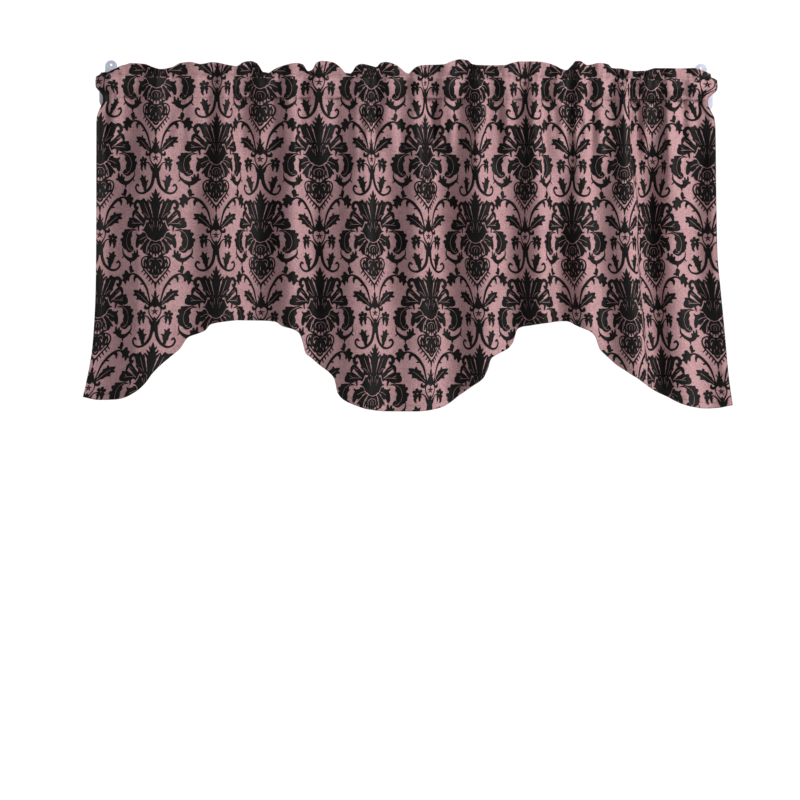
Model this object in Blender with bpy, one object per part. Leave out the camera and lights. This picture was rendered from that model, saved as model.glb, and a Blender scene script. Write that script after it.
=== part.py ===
"""Window valance on a flat white curtain rod, hung from two wall brackets.

The valance is one width of printed cloth. Its top edge is turned to the back and sewn
down along two lines, which make a heading ruffle above a pocket for the rod. Below the
pocket the cloth hangs in soft uneven folds to a scalloped hem with two arches.

Metres, +Z up, +X to the right, and the room is on the -Y side. The origin lies on the
wall, half way between the brackets, at the height of the rod's middle.
"""

import math
from collections import namedtuple

import bmesh
import bpy
import numpy as np
from mathutils import Matrix, Vector

MM = 0.001

# Clearance between pieces that touch on the real valance
GAP = 0.3 * MM

# Curtain rod: a flattened tube with curved ends
ROD_TALL = 18 * MM
ROD_THICK = 8 * MM
ROD_WALL = 1.0 * MM
ROD_FORWARD = 50 * MM
ROD_RETURN_X = 532.5 * MM
ROD_BEND = 18 * MM
ROD_BEND_STEPS = 8
ROD_EDGE_STEPS = 6

# How far the cloth follows the rod's bends at the lower seam, from nearly 0 for not at all
STRAIGHT = 0.0001
SEAM_BEND = 0.3

# The right bracket is fixed lower than the left one, so rod and cloth fall to the right
FALL_EACH_END = 3 * MM
FALL = FALL_EACH_END / ROD_RETURN_X

# Wall brackets: a plate with a rounded top tab and a tongue for the rod's end
PLATE_X = 515.6 * MM
PLATE_THICK = 2 * MM
PLATE_HALF_WIDTH = 20.6 * MM
PLATE_BOTTOM = -46.5 * MM
PLATE_WAIST = -8 * MM
PLATE_CORNER = 14 * MM
TAB_HALF_WIDTH = 10.5 * MM
TAB_TOP = 38 * MM
TAB_SHOULDER = 21 * MM
SCREW_HOLE_R = 2.2 * MM
SCREW_HOLE_SIDES = 20
SCREW_HOLES_Z = (30 * MM, -34 * MM)
CUTTER_DEEP = 6 * MM
TONGUE_DEEP = 20 * MM
ARC_STEPS = 10

# Cloth, with the turned-back top doubling it and the hems thickening it
CLOTH = 1.2 * MM
HEM_EXTRA = 1.0 * MM
HEM_DEEP = 12 * MM
SIDE_HEM = 14 * MM

# Heights of the two seams, from the rod's middle
LOWER_SEAM = -28 * MM
ROD_SHOULDER = ROD_TALL / 2 - ROD_THICK / 2
SEAM_SLOPE_REACH = math.sqrt(2) * (ROD_THICK / 2 + GAP)
UPPER_SEAM = ROD_SHOULDER + SEAM_SLOPE_REACH

# Each fold, from left to right, in flat cloth: from its crest away to the valley and its
# steepest angle there, then back out to the next crest and that steepest angle, and how
# far the gathers stand off the rod at the crest and in the valley
Fold = namedtuple("Fold", "away_mm away_deg back_mm back_deg crest_mm tuck_mm")
FOLDS = (
    Fold(24, 25, 88, 40, 5, 9),
    Fold(79, 32, 55, 32, 12, 8),
    Fold(88, 55, 65, 50, 13, 12),
    Fold(58, 47, 92, 39, 14, 11),
    Fold(56, 37, 52, 36, 12, 9),
    Fold(70, 58, 70, 58, 13, 12),
    Fold(63, 50, 61, 55, 14, 10),
    Fold(58, 62, 46, 50, 12, 11),
    Fold(40, 42, 53, 52, 11, 9),
    Fold(78, 84, 54, 66, 13, 12),
    Fold(50, 40, 34, 50, 10, 8),
    Fold(5, 10, 0, 0, 7, 5),
)
FLAT_WIDTH = sum(fold.away_mm + fold.back_mm for fold in FOLDS) * MM
GATHER_MOST_DEG = 52
FOLD_SHARE_TOP = 0.30
FOLDS_FULL = -190 * MM
PLUMB_HEIGHT = -257 * MM
FLARE_FROM = -330 * MM
FOLD_SHARE_HEM = 0.93
BACK_GATHER = 0.6

# How far the cloth reaches to the left and right at some heights
Width = namedtuple("Width", "height_mm left_mm right_mm")
WIDTHS = (
    Width(-570, -569, 572),
    Width(-545, -562, 568),
    Width(-508, -554, 563),
    Width(-465, -547, 559),
    Width(-410, -543, 554),
    Width(-360, -541, 549),
    Width(-290, -540, 543),
    Width(-60, -539, 539),
    Width(-20, -538, 537),
    Width(60, -536.5, 536.5),
)

# The side edges are drawn in just under the pocket, where the rod pulls them round
Draw = namedtuple("Draw", "height_mm inward_mm")
SIDE_DRAW = (
    Draw(-66, 0),
    Draw(-50, 4),
    Draw(-42, 11),
    Draw(-28, 12),
    Draw(-18, 6),
    Draw(-9, 0),
)
SIDE_DRAW_REACH = 36 * MM

# The cut of the scalloped hem: distance along the flat cloth and drop below the rod
Cut = namedtuple("Cut", "along_mm drop_mm")
HEM_CUT = (
    Cut(0, 548),
    Cut(60, 553),
    Cut(100, 538),
    Cut(150, 494),
    Cut(215, 434),
    Cut(262, 417),
    Cut(330, 413),
    Cut(385, 426),
    Cut(440, 468),
    Cut(500, 536),
    Cut(560, 568),
    Cut(625, 573),
    Cut(690, 566),
    Cut(745, 536),
    Cut(800, 486),
    Cut(850, 436),
    Cut(905, 418),
    Cut(960, 417),
    Cut(1010, 430),
    Cut(1060, 468),
    Cut(1115, 510),
    Cut(1180, 545),
    Cut(1245, 565),
    Cut(1290, 570),
    Cut(1339, 564),
)

# The heading's upper edge: crowns and notches along the rod
Crown = namedtuple("Crown", "along_mm height_mm")
HEADING = (
    Crown(-537, 12),
    Crown(-517, 17),
    Crown(-489, 30),
    Crown(-456, 31),
    Crown(-428, 22),
    Crown(-380, 34),
    Crown(-359, 31),
    Crown(-338, 34),
    Crown(-296, 27),
    Crown(-272, 36),
    Crown(-247, 14),
    Crown(-219, 26),
    Crown(-190, 33),
    Crown(-169, 19),
    Crown(-142, 36),
    Crown(-115, 26),
    Crown(-100, 14),
    Crown(-80, 32),
    Crown(-52, 26),
    Crown(-42, 35),
    Crown(-17, 30),
    Crown(4, 16),
    Crown(31, 31),
    Crown(66, 32),
    Crown(90, 40),
    Crown(115, 33),
    Crown(171, 31),
    Crown(198, 38),
    Crown(233, 37),
    Crown(277, 23),
    Crown(299, 39),
    Crown(338, 36),
    Crown(366, 25),
    Crown(408, 22),
    Crown(449, 28),
    Crown(505, 28),
    Crown(526, 20),
    Crown(537, 14),
)
HEADING_LEAST = 3 * MM
SEAM_WAVE = 0.24
HEADING_WAVE = 0.42
HEADING_LEAN = 10 * MM
HEADING_LEAN_FROM = 490 * MM

# Rows of the solid: shares of the way from the lower seam to the hem, heights of the pocket
# with how far it stands open, and shares of the heading's height
SKIRT_ROWS = (0.05, 0.11, 0.18, 0.27, 0.4, 0.55, 0.7, 0.86)
POCKET_ROWS = (
    (-15 * MM, 0.78),
    (-8 * MM, 1.0),
    (0.0, 1.0),
    (UPPER_SEAM - ROD_THICK / 2 - GAP, 1.0),
)
HEADING_SHARES = (0.0, 0.5, 1.0)
COLUMN_STEP = 12.5 * MM
FINE_STEPS = 1340
LEVELS = 60

SHARP_DEG = 50

CLOTH_COLOUR = (0.27, 0.165, 0.175, 1)
WHITE_COLOUR = (0.80, 0.81, 0.84, 1)


def ease(share):
    """0 to 1 along an S curve, flat at both ends."""
    share = np.clip(share, 0, 1)
    return share * share * (3 - 2 * share)


def through(rows, at):
    """A smooth line through a table's (place, value) rows, both in mm, read at places in metres."""
    places = np.array([row[0] for row in rows]) * MM
    values = np.array([row[1] for row in rows]) * MM
    slopes = np.diff(values) / np.diff(places)
    turning = slopes[:-1] * slopes[1:] <= 0
    inner = np.where(turning, 0, 2 * slopes[:-1] * slopes[1:] / (slopes[:-1] + slopes[1:] + turning))
    tangents = np.concatenate([slopes[:1], inner, slopes[-1:]])
    at = np.clip(at, places[0], places[-1])
    piece = np.clip(np.searchsorted(places, at, side="right") - 1, 0, len(slopes) - 1)
    length = places[piece + 1] - places[piece]
    t = (at - places[piece]) / length
    start = (1 + 2 * t) * (1 - t) ** 2 * values[piece]
    leaving = t * (1 - t) ** 2 * length * tangents[piece]
    end = t * t * (3 - 2 * t) * values[piece + 1]
    arriving = t * t * (t - 1) * length * tangents[piece + 1]
    return start + leaving + end + arriving


def flanks():
    """(length, steepest angle, gather at its start) of each flank of each fold, in turn."""
    found = []
    for fold in FOLDS:
        found.append((fold.away_mm * MM, math.radians(fold.away_deg), fold.crest_mm * MM))
        found.append((fold.back_mm * MM, math.radians(fold.back_deg), fold.tuck_mm * MM))
    return [flank for flank in found if flank[0] > 0]


def phase_at(along):
    """Fold phase (crests at 0, 2 pi and so on), flank angle and gather height along the flat cloth."""
    rows = flanks()
    ends = np.concatenate([[0], np.cumsum([row[0] for row in rows])])
    flank = np.clip(np.searchsorted(ends, along, side="right") - 1, 0, len(rows) - 1)
    share = (along - ends[flank]) / np.diff(ends)[flank]
    phase = (flank + share) * math.pi
    angle = np.array([row[1] for row in rows])[flank]
    heights = np.array([row[2] for row in rows] + [rows[-1][2]])
    gather = heights[flank] + (heights[flank + 1] - heights[flank]) * ease(share)
    return phase, angle, gather


def fold_shares(height):
    """Shares of the cloth's tilt that are in gathers, two to a fold, and in folds, at a height."""
    opening = ease((LOWER_SEAM - height) / (LOWER_SEAM - FOLDS_FULL))
    folds = FOLD_SHARE_TOP + (1 - FOLD_SHARE_TOP) * opening
    gathers = np.sqrt(1 - folds**2)
    lowest = -max(row.drop_mm for row in HEM_CUT) * MM
    flare = ease((FLARE_FROM - height) / (FLARE_FROM - lowest))
    return gathers, folds * (1 - (1 - FOLD_SHARE_HEM) * flare)


def level_line(along, height):
    """The cloth's line in one level section: its share of the width across, and how far forward."""
    phase, angle, _ = phase_at(along)
    gathers, folds = fold_shares(height)
    gathered = np.minimum(angle, math.radians(GATHER_MOST_DEG))
    tilt = angle * folds * np.sin(phase) + gathered * gathers * np.sin(2 * phase)
    step = FLAT_WIDTH / (FINE_STEPS - 1)
    x = np.concatenate([[0], np.cumsum((np.cos(tilt)[1:] + np.cos(tilt)[:-1]) / 2 * step)])
    y = np.concatenate([[0], np.cumsum((np.sin(tilt)[1:] + np.sin(tilt)[:-1]) / 2 * step)])
    return x / x[-1], y.mean() - y


def sections():
    """Heights of the level sections, places along the flat cloth, and where each lies, across and forward."""
    along = np.linspace(0, FLAT_WIDTH, FINE_STEPS)
    heights = np.linspace(WIDTHS[0].height_mm, WIDTHS[-1].height_mm, LEVELS) * MM
    left_drawn = np.exp(-((along / SIDE_DRAW_REACH) ** 2))
    right_drawn = np.exp(-(((FLAT_WIDTH - along) / SIDE_DRAW_REACH) ** 2))
    marks = np.concatenate([[0], np.cumsum([row[0] for row in flanks()])])
    plumb = np.interp(marks, along, level_line(along, PLUMB_HEIGHT)[0])
    across, forward = [], []
    for height in heights:
        x, y = level_line(along, height)
        x = x + np.interp(along, marks, plumb - np.interp(marks, along, x))
        left = through([(row.height_mm, row.left_mm) for row in WIDTHS], height)
        right = through([(row.height_mm, row.right_mm) for row in WIDTHS], height)
        inward = through(SIDE_DRAW, height)
        across.append(left + x * (right - left) + inward * (left_drawn - right_drawn))
        forward.append(y)
    return heights, along, np.array(across), np.array(forward)


SECTIONS = sections()


def hang(along, height):
    """Across and forward place of points of the hanging cloth, by place along the flat cloth and height."""
    heights, fine, across, forward = SECTIONS
    level = np.clip((height - heights[0]) / (heights[1] - heights[0]), 0, LEVELS - 1.001)
    low = level.astype(int)
    share = level - low
    place = np.clip(along / FLAT_WIDTH * (FINE_STEPS - 1), 0, FINE_STEPS - 1.001)
    left = place.astype(int)
    part = place - left

    def read(table):
        lower = table[low, left] * (1 - part) + table[low, left + 1] * part
        upper = table[low + 1, left] * (1 - part) + table[low + 1, left + 1] * part
        return lower * (1 - share) + upper * share

    return read(across), read(forward)


def round_corner(across, forward, height, bend=1.0):
    """Points beside the rod's line, carried round its curved ends; forward is outwards from that line."""
    start = ROD_RETURN_X - ROD_BEND
    past = np.maximum(np.abs(across) - start, 0)
    radius = ROD_BEND / max(bend, STRAIGHT)
    turn = past / radius
    x = np.minimum(np.abs(across), start) + np.where(turn > 0, (radius + forward) * np.sin(turn), 0)
    y = -ROD_FORWARD - forward + np.where(turn > 0, (radius + forward) * (1 - np.cos(turn)), 0)
    x = x * np.sign(across)
    return np.stack([x, y, height - FALL * x], axis=-1)


def columns():
    """Places along the flat cloth where the solid has a column, with some at each crest and valley."""
    places = [0.0]
    for length, _, _ in flanks():
        steps = max(1, round(length / COLUMN_STEP))
        places += [places[-1] + length * (k + 1) / steps for k in range(steps)]
    return np.array(places)


def doubled(across, forward, by):
    """The line moved along its own normal by a distance, forward if that is positive."""
    slope = np.gradient(forward, across)
    size = np.sqrt(1 + slope**2)
    return across - slope / size * by, forward + by / size


def cloth_rings():
    """The cloth's outer and inner rings of points, each [row][column], going round from the hem."""
    along = columns()
    phase, _, gather = phase_at(along)
    wave = (1 + np.cos(2 * phase)) / 2
    drop = -through(HEM_CUT, along)
    seam = np.full_like(along, LOWER_SEAM)
    hem_share = 1 - HEM_DEEP / (LOWER_SEAM - drop)
    side = np.minimum(along, FLAT_WIDTH - along) < SIDE_HEM

    front, back = [], []
    shares = [np.full_like(along, share) for share in SKIRT_ROWS] + [hem_share, np.ones_like(along)]
    for number, share in enumerate(shares):
        height = seam + (drop - seam) * share
        line = hang(along, height)
        thick = np.where(side | (number >= len(SKIRT_ROWS)), CLOTH + HEM_EXTRA, CLOTH)
        front.append(round_corner(*line, height, STRAIGHT))
        back.append(round_corner(*doubled(*line, -thick), height, STRAIGHT))

    line = hang(along, seam)
    seam_line = doubled(*line, -CLOTH)
    seam_front = round_corner(*line, seam, SEAM_BEND)
    seam_apex = round_corner(*seam_line, seam, SEAM_BEND)
    seam_back = round_corner(*doubled(*line, -2 * CLOTH), seam, SEAM_BEND)

    touching = ROD_THICK / 2 + GAP
    pocket = []
    for height, opened in POCKET_ROWS:
        level = np.full_like(along, height)
        at_rod, _ = hang(along, level)
        line = seam_line[0] + (at_rod - seam_line[0]) * opened
        inner_front = seam_line[1] + (touching + gather * wave - seam_line[1]) * opened
        inner_back = seam_line[1] + (-touching - BACK_GATHER * gather * wave - seam_line[1]) * opened
        outer_front = doubled(line, inner_front, CLOTH)
        outer_back = doubled(line, inner_back, -CLOTH)
        bend = SEAM_BEND + (1 - SEAM_BEND) * opened
        pocket.append(
            (
                round_corner(*outer_front, level, bend),
                round_corner(line, inner_front, level, bend),
                round_corner(line, inner_back, level, bend),
                round_corner(*outer_back, level, bend),
            )
        )

    at_rod, _ = hang(along, np.zeros_like(along))
    ruffle = gather * np.cos(2 * phase)
    apex = SEAM_WAVE * ruffle
    apex_height = UPPER_SEAM + np.abs(apex)
    top = np.maximum(through(HEADING, at_rod), apex_height + HEADING_LEAST)
    lean = ease((np.abs(at_rod) - HEADING_LEAN_FROM) / (ROD_RETURN_X - HEADING_LEAN_FROM))
    heading = []
    for share in HEADING_SHARES:
        forward = apex + share * (HEADING_WAVE * ruffle - HEADING_LEAN * lean)
        height = apex_height + (top - apex_height) * share
        heading.append(
            (
                round_corner(*doubled(at_rod, forward, CLOTH), height),
                round_corner(*doubled(at_rod, forward, -CLOTH), height),
            )
        )
    upper_apex = round_corner(at_rod, apex, apex_height)

    outer = front[::-1] + [seam_front] + [row[0] for row in pocket] + [row[0] for row in heading]
    outer += [row[1] for row in heading[::-1]] + [row[3] for row in pocket[::-1]] + [seam_back] + back
    inner = [seam_apex] + [row[1] for row in pocket] + [upper_apex] + [row[2] for row in pocket[::-1]]
    return np.array(outer), np.array(inner)


def end_caps(outer_rows, inner_rows):
    """The faces that close one end of the cloth, each a list of ("outer" or "inner", row)."""
    skirt = len(SKIRT_ROWS) + 2
    pocket = len(POCKET_ROWS)
    seam_front = skirt
    seam_back = outer_rows - 1 - skirt
    low = skirt + 1 + pocket
    high = low + len(HEADING_SHARES) - 1
    low_back = high + len(HEADING_SHARES)

    def outer(*rows):
        return [("outer", row) for row in rows]

    def inner(*rows):
        return [("inner", row % inner_rows) for row in rows]

    faces = []
    for k in range(skirt - 1):
        faces.append(outer(k, k + 1, outer_rows - 2 - k, outer_rows - 1 - k))
    faces.append(outer(skirt - 1, seam_front) + inner(0) + outer(seam_back, seam_back + 1))
    for k in range(pocket + 1):
        faces.append(outer(seam_front + k, seam_front + k + 1) + inner(k + 1, k))
        faces.append(outer(seam_back - k - 1, seam_back - k) + inner(-k, -k - 1))
    faces.append(outer(low, low + 1, low_back - 1, low_back) + inner(pocket + 1))
    for k in range(1, high - low):
        faces.append(outer(low + k, low + k + 1, low_back - k - 1, low_back - k))
    return faces


def mesh_object(name, points, faces, material):
    """An object with a closed triangle mesh, its faces turned outwards, smooth but for its sharp edges."""
    mesh = bpy.data.meshes.new(name)
    mesh.from_pydata([tuple(point) for point in points], [], faces)
    work = bmesh.new()
    work.from_mesh(mesh)
    bmesh.ops.triangulate(work, faces=work.faces)
    bmesh.ops.recalc_face_normals(work, faces=work.faces)
    work.to_mesh(mesh)
    work.free()
    mesh.shade_smooth()
    mesh.set_sharp_from_angle(angle=math.radians(SHARP_DEG))
    mesh.materials.append(material)
    thing = bpy.data.objects.new(name, mesh)
    bpy.context.scene.collection.objects.link(thing)
    return thing


def make_cloth(material):
    """The valance: skirt, heading and rod pocket in one closed solid with a tunnel for the rod."""
    outer, inner = cloth_rings()
    outer_rows, count = outer.shape[:2]
    inner_rows = inner.shape[0]
    points = np.concatenate([outer.reshape(-1, 3), inner.reshape(-1, 3)])

    def number(ring, row, column):
        start = 0 if ring == "outer" else outer_rows * count
        return start + row * count + column

    faces = []
    for column in range(count - 1):
        for ring, rows in (("outer", outer_rows), ("inner", inner_rows)):
            for row in range(rows):
                after = (row + 1) % rows
                quad = [
                    number(ring, row, column),
                    number(ring, row, column + 1),
                    number(ring, after, column + 1),
                    number(ring, after, column),
                ]
                faces.append(quad if ring == "outer" else quad[::-1])
    for column in (0, count - 1):
        for face in end_caps(outer_rows, inner_rows):
            faces.append([number(ring, row, column) for ring, row in face])
    return mesh_object("valance_cloth", points, faces, material)


def flat_oval(tall, thick):
    """Points round a flattened tube's section, as (outwards, up) pairs."""
    radius = thick / 2
    points = []
    for centre, first in ((tall / 2 - radius, 0), (radius - tall / 2, math.pi)):
        for step in range(ROD_EDGE_STEPS + 1):
            angle = first + math.pi * step / ROD_EDGE_STEPS
            points.append((radius * math.cos(angle), centre + radius * math.sin(angle)))
    return points


def rod_line():
    """(x, y, outward x, outward y) along the rod's middle line, from the left wall to the right one."""
    end = PLATE_THICK + GAP
    centre_x, centre_y = ROD_RETURN_X - ROD_BEND, -ROD_FORWARD + ROD_BEND
    half = [(ROD_RETURN_X, -end, 1.0, 0.0)]
    for step in range(ROD_BEND_STEPS + 1):
        angle = math.pi / 2 * step / ROD_BEND_STEPS
        outward = (math.cos(angle), -math.sin(angle))
        half.append((centre_x + ROD_BEND * outward[0], centre_y + ROD_BEND * outward[1], *outward))
    left = [(-x, y, -out_x, out_y) for x, y, out_x, out_y in half]
    return left + half[::-1]


def make_rod(material):
    """The curtain rod: a hollow flattened tube along its bent line, open at both ends."""
    bore = flat_oval(ROD_TALL - 2 * ROD_WALL, ROD_THICK - 2 * ROD_WALL)
    rings = (flat_oval(ROD_TALL, ROD_THICK), bore)
    sides = len(bore)
    stations = rod_line()
    points = []
    for ring in rings:
        for x, y, out_x, out_y in stations:
            for out, up in ring:
                place = x + out * out_x
                points.append((place, y + out * out_y, up - FALL * place))
    faces = []
    for layer in (0, 1):
        start = layer * len(stations) * sides
        for station in range(len(stations) - 1):
            for side in range(sides):
                corners = [(station, side), (station, (side + 1) % sides)]
                corners += [(station + 1, (side + 1) % sides), (station + 1, side)]
                quad = [start + s * sides + k for s, k in corners]
                faces.append(quad if layer == 0 else quad[::-1])
    inner = len(stations) * sides
    for station in (0, len(stations) - 1):
        for side in range(sides):
            here, there = station * sides + side, station * sides + (side + 1) % sides
            faces.append([here, there, inner + there, inner + here])
    return mesh_object("curtain_rod", points, faces, material)


def plate_outline():
    """Points round the bracket's plate, as (x from its middle, z) pairs."""
    right = []
    for step in range(ARC_STEPS + 1):
        angle = -math.pi / 2 + math.pi / 2 * step / ARC_STEPS
        x = PLATE_HALF_WIDTH - PLATE_CORNER + PLATE_CORNER * math.cos(angle)
        right.append((x, PLATE_BOTTOM + PLATE_CORNER + PLATE_CORNER * math.sin(angle)))
    for step in range(ARC_STEPS + 1):
        share = step / ARC_STEPS
        half = PLATE_HALF_WIDTH + (TAB_HALF_WIDTH - PLATE_HALF_WIDTH) * float(ease(share))
        right.append((half, PLATE_WAIST + (TAB_SHOULDER - PLATE_WAIST) * share))
    for step in range(ARC_STEPS):
        angle = math.pi / 2 * step / ARC_STEPS
        x = TAB_HALF_WIDTH * math.cos(angle)
        right.append((x, TAB_TOP - TAB_HALF_WIDTH + TAB_HALF_WIDTH * math.sin(angle)))
    left = [(-x, z) for x, z in reversed(right)]
    return right + [(0.0, TAB_TOP)] + left


def prism(outline, y_low, y_high):
    """A bmesh prism along Y over an outline of (x, z) pairs."""
    work = bmesh.new()
    floor = [work.verts.new((x, y_low, z)) for x, z in outline]
    roof = [work.verts.new((x, y_high, z)) for x, z in outline]
    work.faces.new(floor)
    work.faces.new(roof[::-1])
    for k in range(len(outline)):
        after = (k + 1) % len(outline)
        work.faces.new((floor[k], roof[k], roof[after], floor[after]))
    bmesh.ops.recalc_face_normals(work, faces=work.faces)
    return work


def as_object(name, work, material=None):
    """An object from a bmesh."""
    mesh = bpy.data.meshes.new(name)
    work.to_mesh(mesh)
    work.free()
    if material:
        mesh.materials.append(material)
    thing = bpy.data.objects.new(name, mesh)
    bpy.context.scene.collection.objects.link(thing)
    return thing


def join_with(thing, other, operation):
    """Adds a Boolean to thing with other, which then only guides it."""
    boolean = thing.modifiers.new(operation.lower(), "BOOLEAN")
    boolean.object = other
    boolean.operation = operation
    other.hide_render = True
    other.display_type = "WIRE"


def make_bracket(name, side, material):
    """A wall bracket on the left (side -1) or right (side 1): plate, tongue and two screw holes."""
    drop = -FALL_EACH_END * side
    outline = [(side * PLATE_X + x, z + drop) for x, z in plate_outline()]
    plate = as_object(name, prism(outline, -PLATE_THICK, 0), material)

    inset = 2 * (ROD_WALL + GAP)
    tongue_section = flat_oval(ROD_TALL - inset, ROD_THICK - inset)
    tongue_outline = [(side * ROD_RETURN_X + out, up + drop) for out, up in tongue_section]
    tongue = as_object(name + "_tongue_guide", prism(tongue_outline, -TONGUE_DEEP, -PLATE_THICK / 2))
    join_with(plate, tongue, "UNION")

    for number, height in enumerate(SCREW_HOLES_Z):
        work = bmesh.new()
        place = Matrix.Translation(Vector((side * PLATE_X, -PLATE_THICK / 2, height + drop)))
        bmesh.ops.create_cone(
            work,
            cap_ends=True,
            segments=SCREW_HOLE_SIDES,
            radius1=SCREW_HOLE_R,
            radius2=SCREW_HOLE_R,
            depth=CUTTER_DEEP,
            matrix=place @ Matrix.Rotation(math.pi / 2, 4, "X"),
        )
        join_with(plate, as_object(f"{name}_hole_guide_{number}", work), "DIFFERENCE")
    return plate


def make_material(name, colour, roughness, metallic=0.0):
    """A plain surface of one colour."""
    material = bpy.data.materials.new(name)
    material.use_nodes = True
    shader = material.node_tree.nodes["Principled BSDF"]
    shader.inputs["Base Color"].default_value = colour
    shader.inputs["Roughness"].default_value = roughness
    shader.inputs["Metallic"].default_value = metallic
    return material


def main():
    for thing in list(bpy.data.objects):
        bpy.data.objects.remove(thing)
    make_cloth(make_material("printed_cloth", CLOTH_COLOUR, 0.9))
    white = make_material("white_enamel", WHITE_COLOUR, 0.4)
    make_rod(white)
    make_bracket("bracket_left", -1, white)
    make_bracket("bracket_right", 1, white)


main()
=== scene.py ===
"""Looks of the window valance: fine cloth with its damask print, stitching, finishes, light and camera.

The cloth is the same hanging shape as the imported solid, with finer rows and columns, small
puckers and creases. The print is built as thin raised shapes, which are drawn flat from
strokes, cut into triangles once, and then wrapped on the hanging cloth repeat by repeat.

Metres, +Z up, +X to the right, and the room is on the -Y side. Tables are in millimetres.
"""

import math
from collections import namedtuple

import bpy
import numpy as np
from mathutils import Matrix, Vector, geometry

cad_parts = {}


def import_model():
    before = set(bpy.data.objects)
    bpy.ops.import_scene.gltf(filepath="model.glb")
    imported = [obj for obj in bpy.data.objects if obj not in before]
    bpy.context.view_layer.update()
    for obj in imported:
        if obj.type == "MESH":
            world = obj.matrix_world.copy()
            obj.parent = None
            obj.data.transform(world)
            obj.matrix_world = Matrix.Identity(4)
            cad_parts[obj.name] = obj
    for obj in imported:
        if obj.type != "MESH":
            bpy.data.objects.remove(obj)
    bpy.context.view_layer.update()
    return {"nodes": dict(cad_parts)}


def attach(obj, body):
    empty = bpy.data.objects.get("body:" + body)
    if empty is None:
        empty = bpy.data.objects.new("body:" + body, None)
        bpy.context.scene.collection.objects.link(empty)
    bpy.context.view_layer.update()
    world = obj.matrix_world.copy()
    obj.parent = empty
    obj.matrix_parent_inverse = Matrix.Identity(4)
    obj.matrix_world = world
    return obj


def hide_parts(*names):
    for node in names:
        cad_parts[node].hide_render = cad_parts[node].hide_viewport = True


MM = 0.001

# Curtain rod and brackets, as packed
ROD_TALL = 18 * MM
ROD_THICK = 8 * MM
ROD_FORWARD = 50 * MM
ROD_RETURN_X = 532.5 * MM
ROD_BEND = 18 * MM
FALL = 3 * MM / ROD_RETURN_X
GAP = 0.3 * MM

# How far the cloth follows the rod's bends at the lower seam, from nearly 0 for not at all
STRAIGHT = 0.0001
SEAM_BEND = 0.3
SEAM_BEND_FADES = 25 * MM

# Heights of the two seams, from the rod's middle
LOWER_SEAM = -28 * MM
POCKET_TOP = ROD_TALL / 2 - ROD_THICK / 2 + (math.sqrt(2) - 1) * (ROD_THICK / 2 + GAP)
UPPER_SEAM = ROD_TALL / 2 - ROD_THICK / 2 + math.sqrt(2) * (ROD_THICK / 2 + GAP)

# The solid's cloth keeps the pocket this far off the rod; the cloth shown is thinner
SOLID_CLOTH = 1.2 * MM
CLOTH = 0.8 * MM
HEM_EXTRA = 0.7 * MM
HEM_DEEP = 12 * MM
SIDE_HEM = 14 * MM

# Each fold, from left to right, in flat cloth: from its crest away to the valley and its
# steepest angle there, then back out to the next crest and that steepest angle, and how
# far the gathers stand off the rod at the crest and in the valley
Fold = namedtuple("Fold", "away_mm away_deg back_mm back_deg crest_mm tuck_mm")
FOLDS = [Fold(*row) for row in (
    (24, 25, 88, 36, 5, 9), (79, 32, 55, 32, 12, 8), (88, 55, 65, 50, 13, 12), (58, 55, 92, 32, 14, 11),
    (56, 48, 52, 30, 12, 9), (70, 56, 70, 54, 13, 12), (63, 52, 61, 47, 14, 10),
    (58, 62, 46, 50, 12, 11), (40, 44, 53, 47, 11, 9), (78, 84, 54, 56, 13, 12),
    (50, 42, 34, 36, 10, 8), (5, 10, 0, 0, 7, 5),
)]
FLAT_WIDTH = sum(fold.away_mm + fold.back_mm for fold in FOLDS) * MM

# The gathers' steepest angle, and how much of them the turned-back layer has
GATHER_MOST_DEG = 52
BACK_GATHER = 0.6

# The folds' share of the cloth's tilt at the lower seam, and the height from which they are full
FOLD_SHARE_TOP = 0.30
FOLDS_FULL = -190 * MM

# The folds keep the places that they have at this height, so they hang plumb
PLUMB_HEIGHT = -257 * MM

# From this height down the folds open a little again, to this share at the hem
FLARE_FROM = -330 * MM
FOLD_SHARE_HEM = 0.93

# How much nearer the wall the cloth comes for each metre to the right, in the pocket and skirt
APPROACH_TOP = 0.008
APPROACH = 0.023

# Points across each level section, and the number of sections
FINE_STEPS = 1340
LEVELS = 60

# How far the cloth reaches to the left and right at some heights
Width = namedtuple("Width", "height_mm left_mm right_mm")
WIDTHS = [Width(*row) for row in (
    (-570, -569, 572), (-545, -562, 568), (-508, -554, 563), (-465, -547, 559), (-410, -543, 554),
    (-360, -541, 549), (-290, -540, 543), (-60, -539, 539), (-20, -538, 537), (60, -536.5, 536.5),
)]

# The side edges are drawn in just under the pocket, where the rod pulls them round
Draw = namedtuple("Draw", "height_mm inward_mm")
SIDE_DRAW = [Draw(*row) for row in (
    (-66, 0), (-50, 4), (-42, 11), (-28, 12), (-18, 6), (-9, 0),
)]
SIDE_DRAW_REACH = 36 * MM

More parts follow.
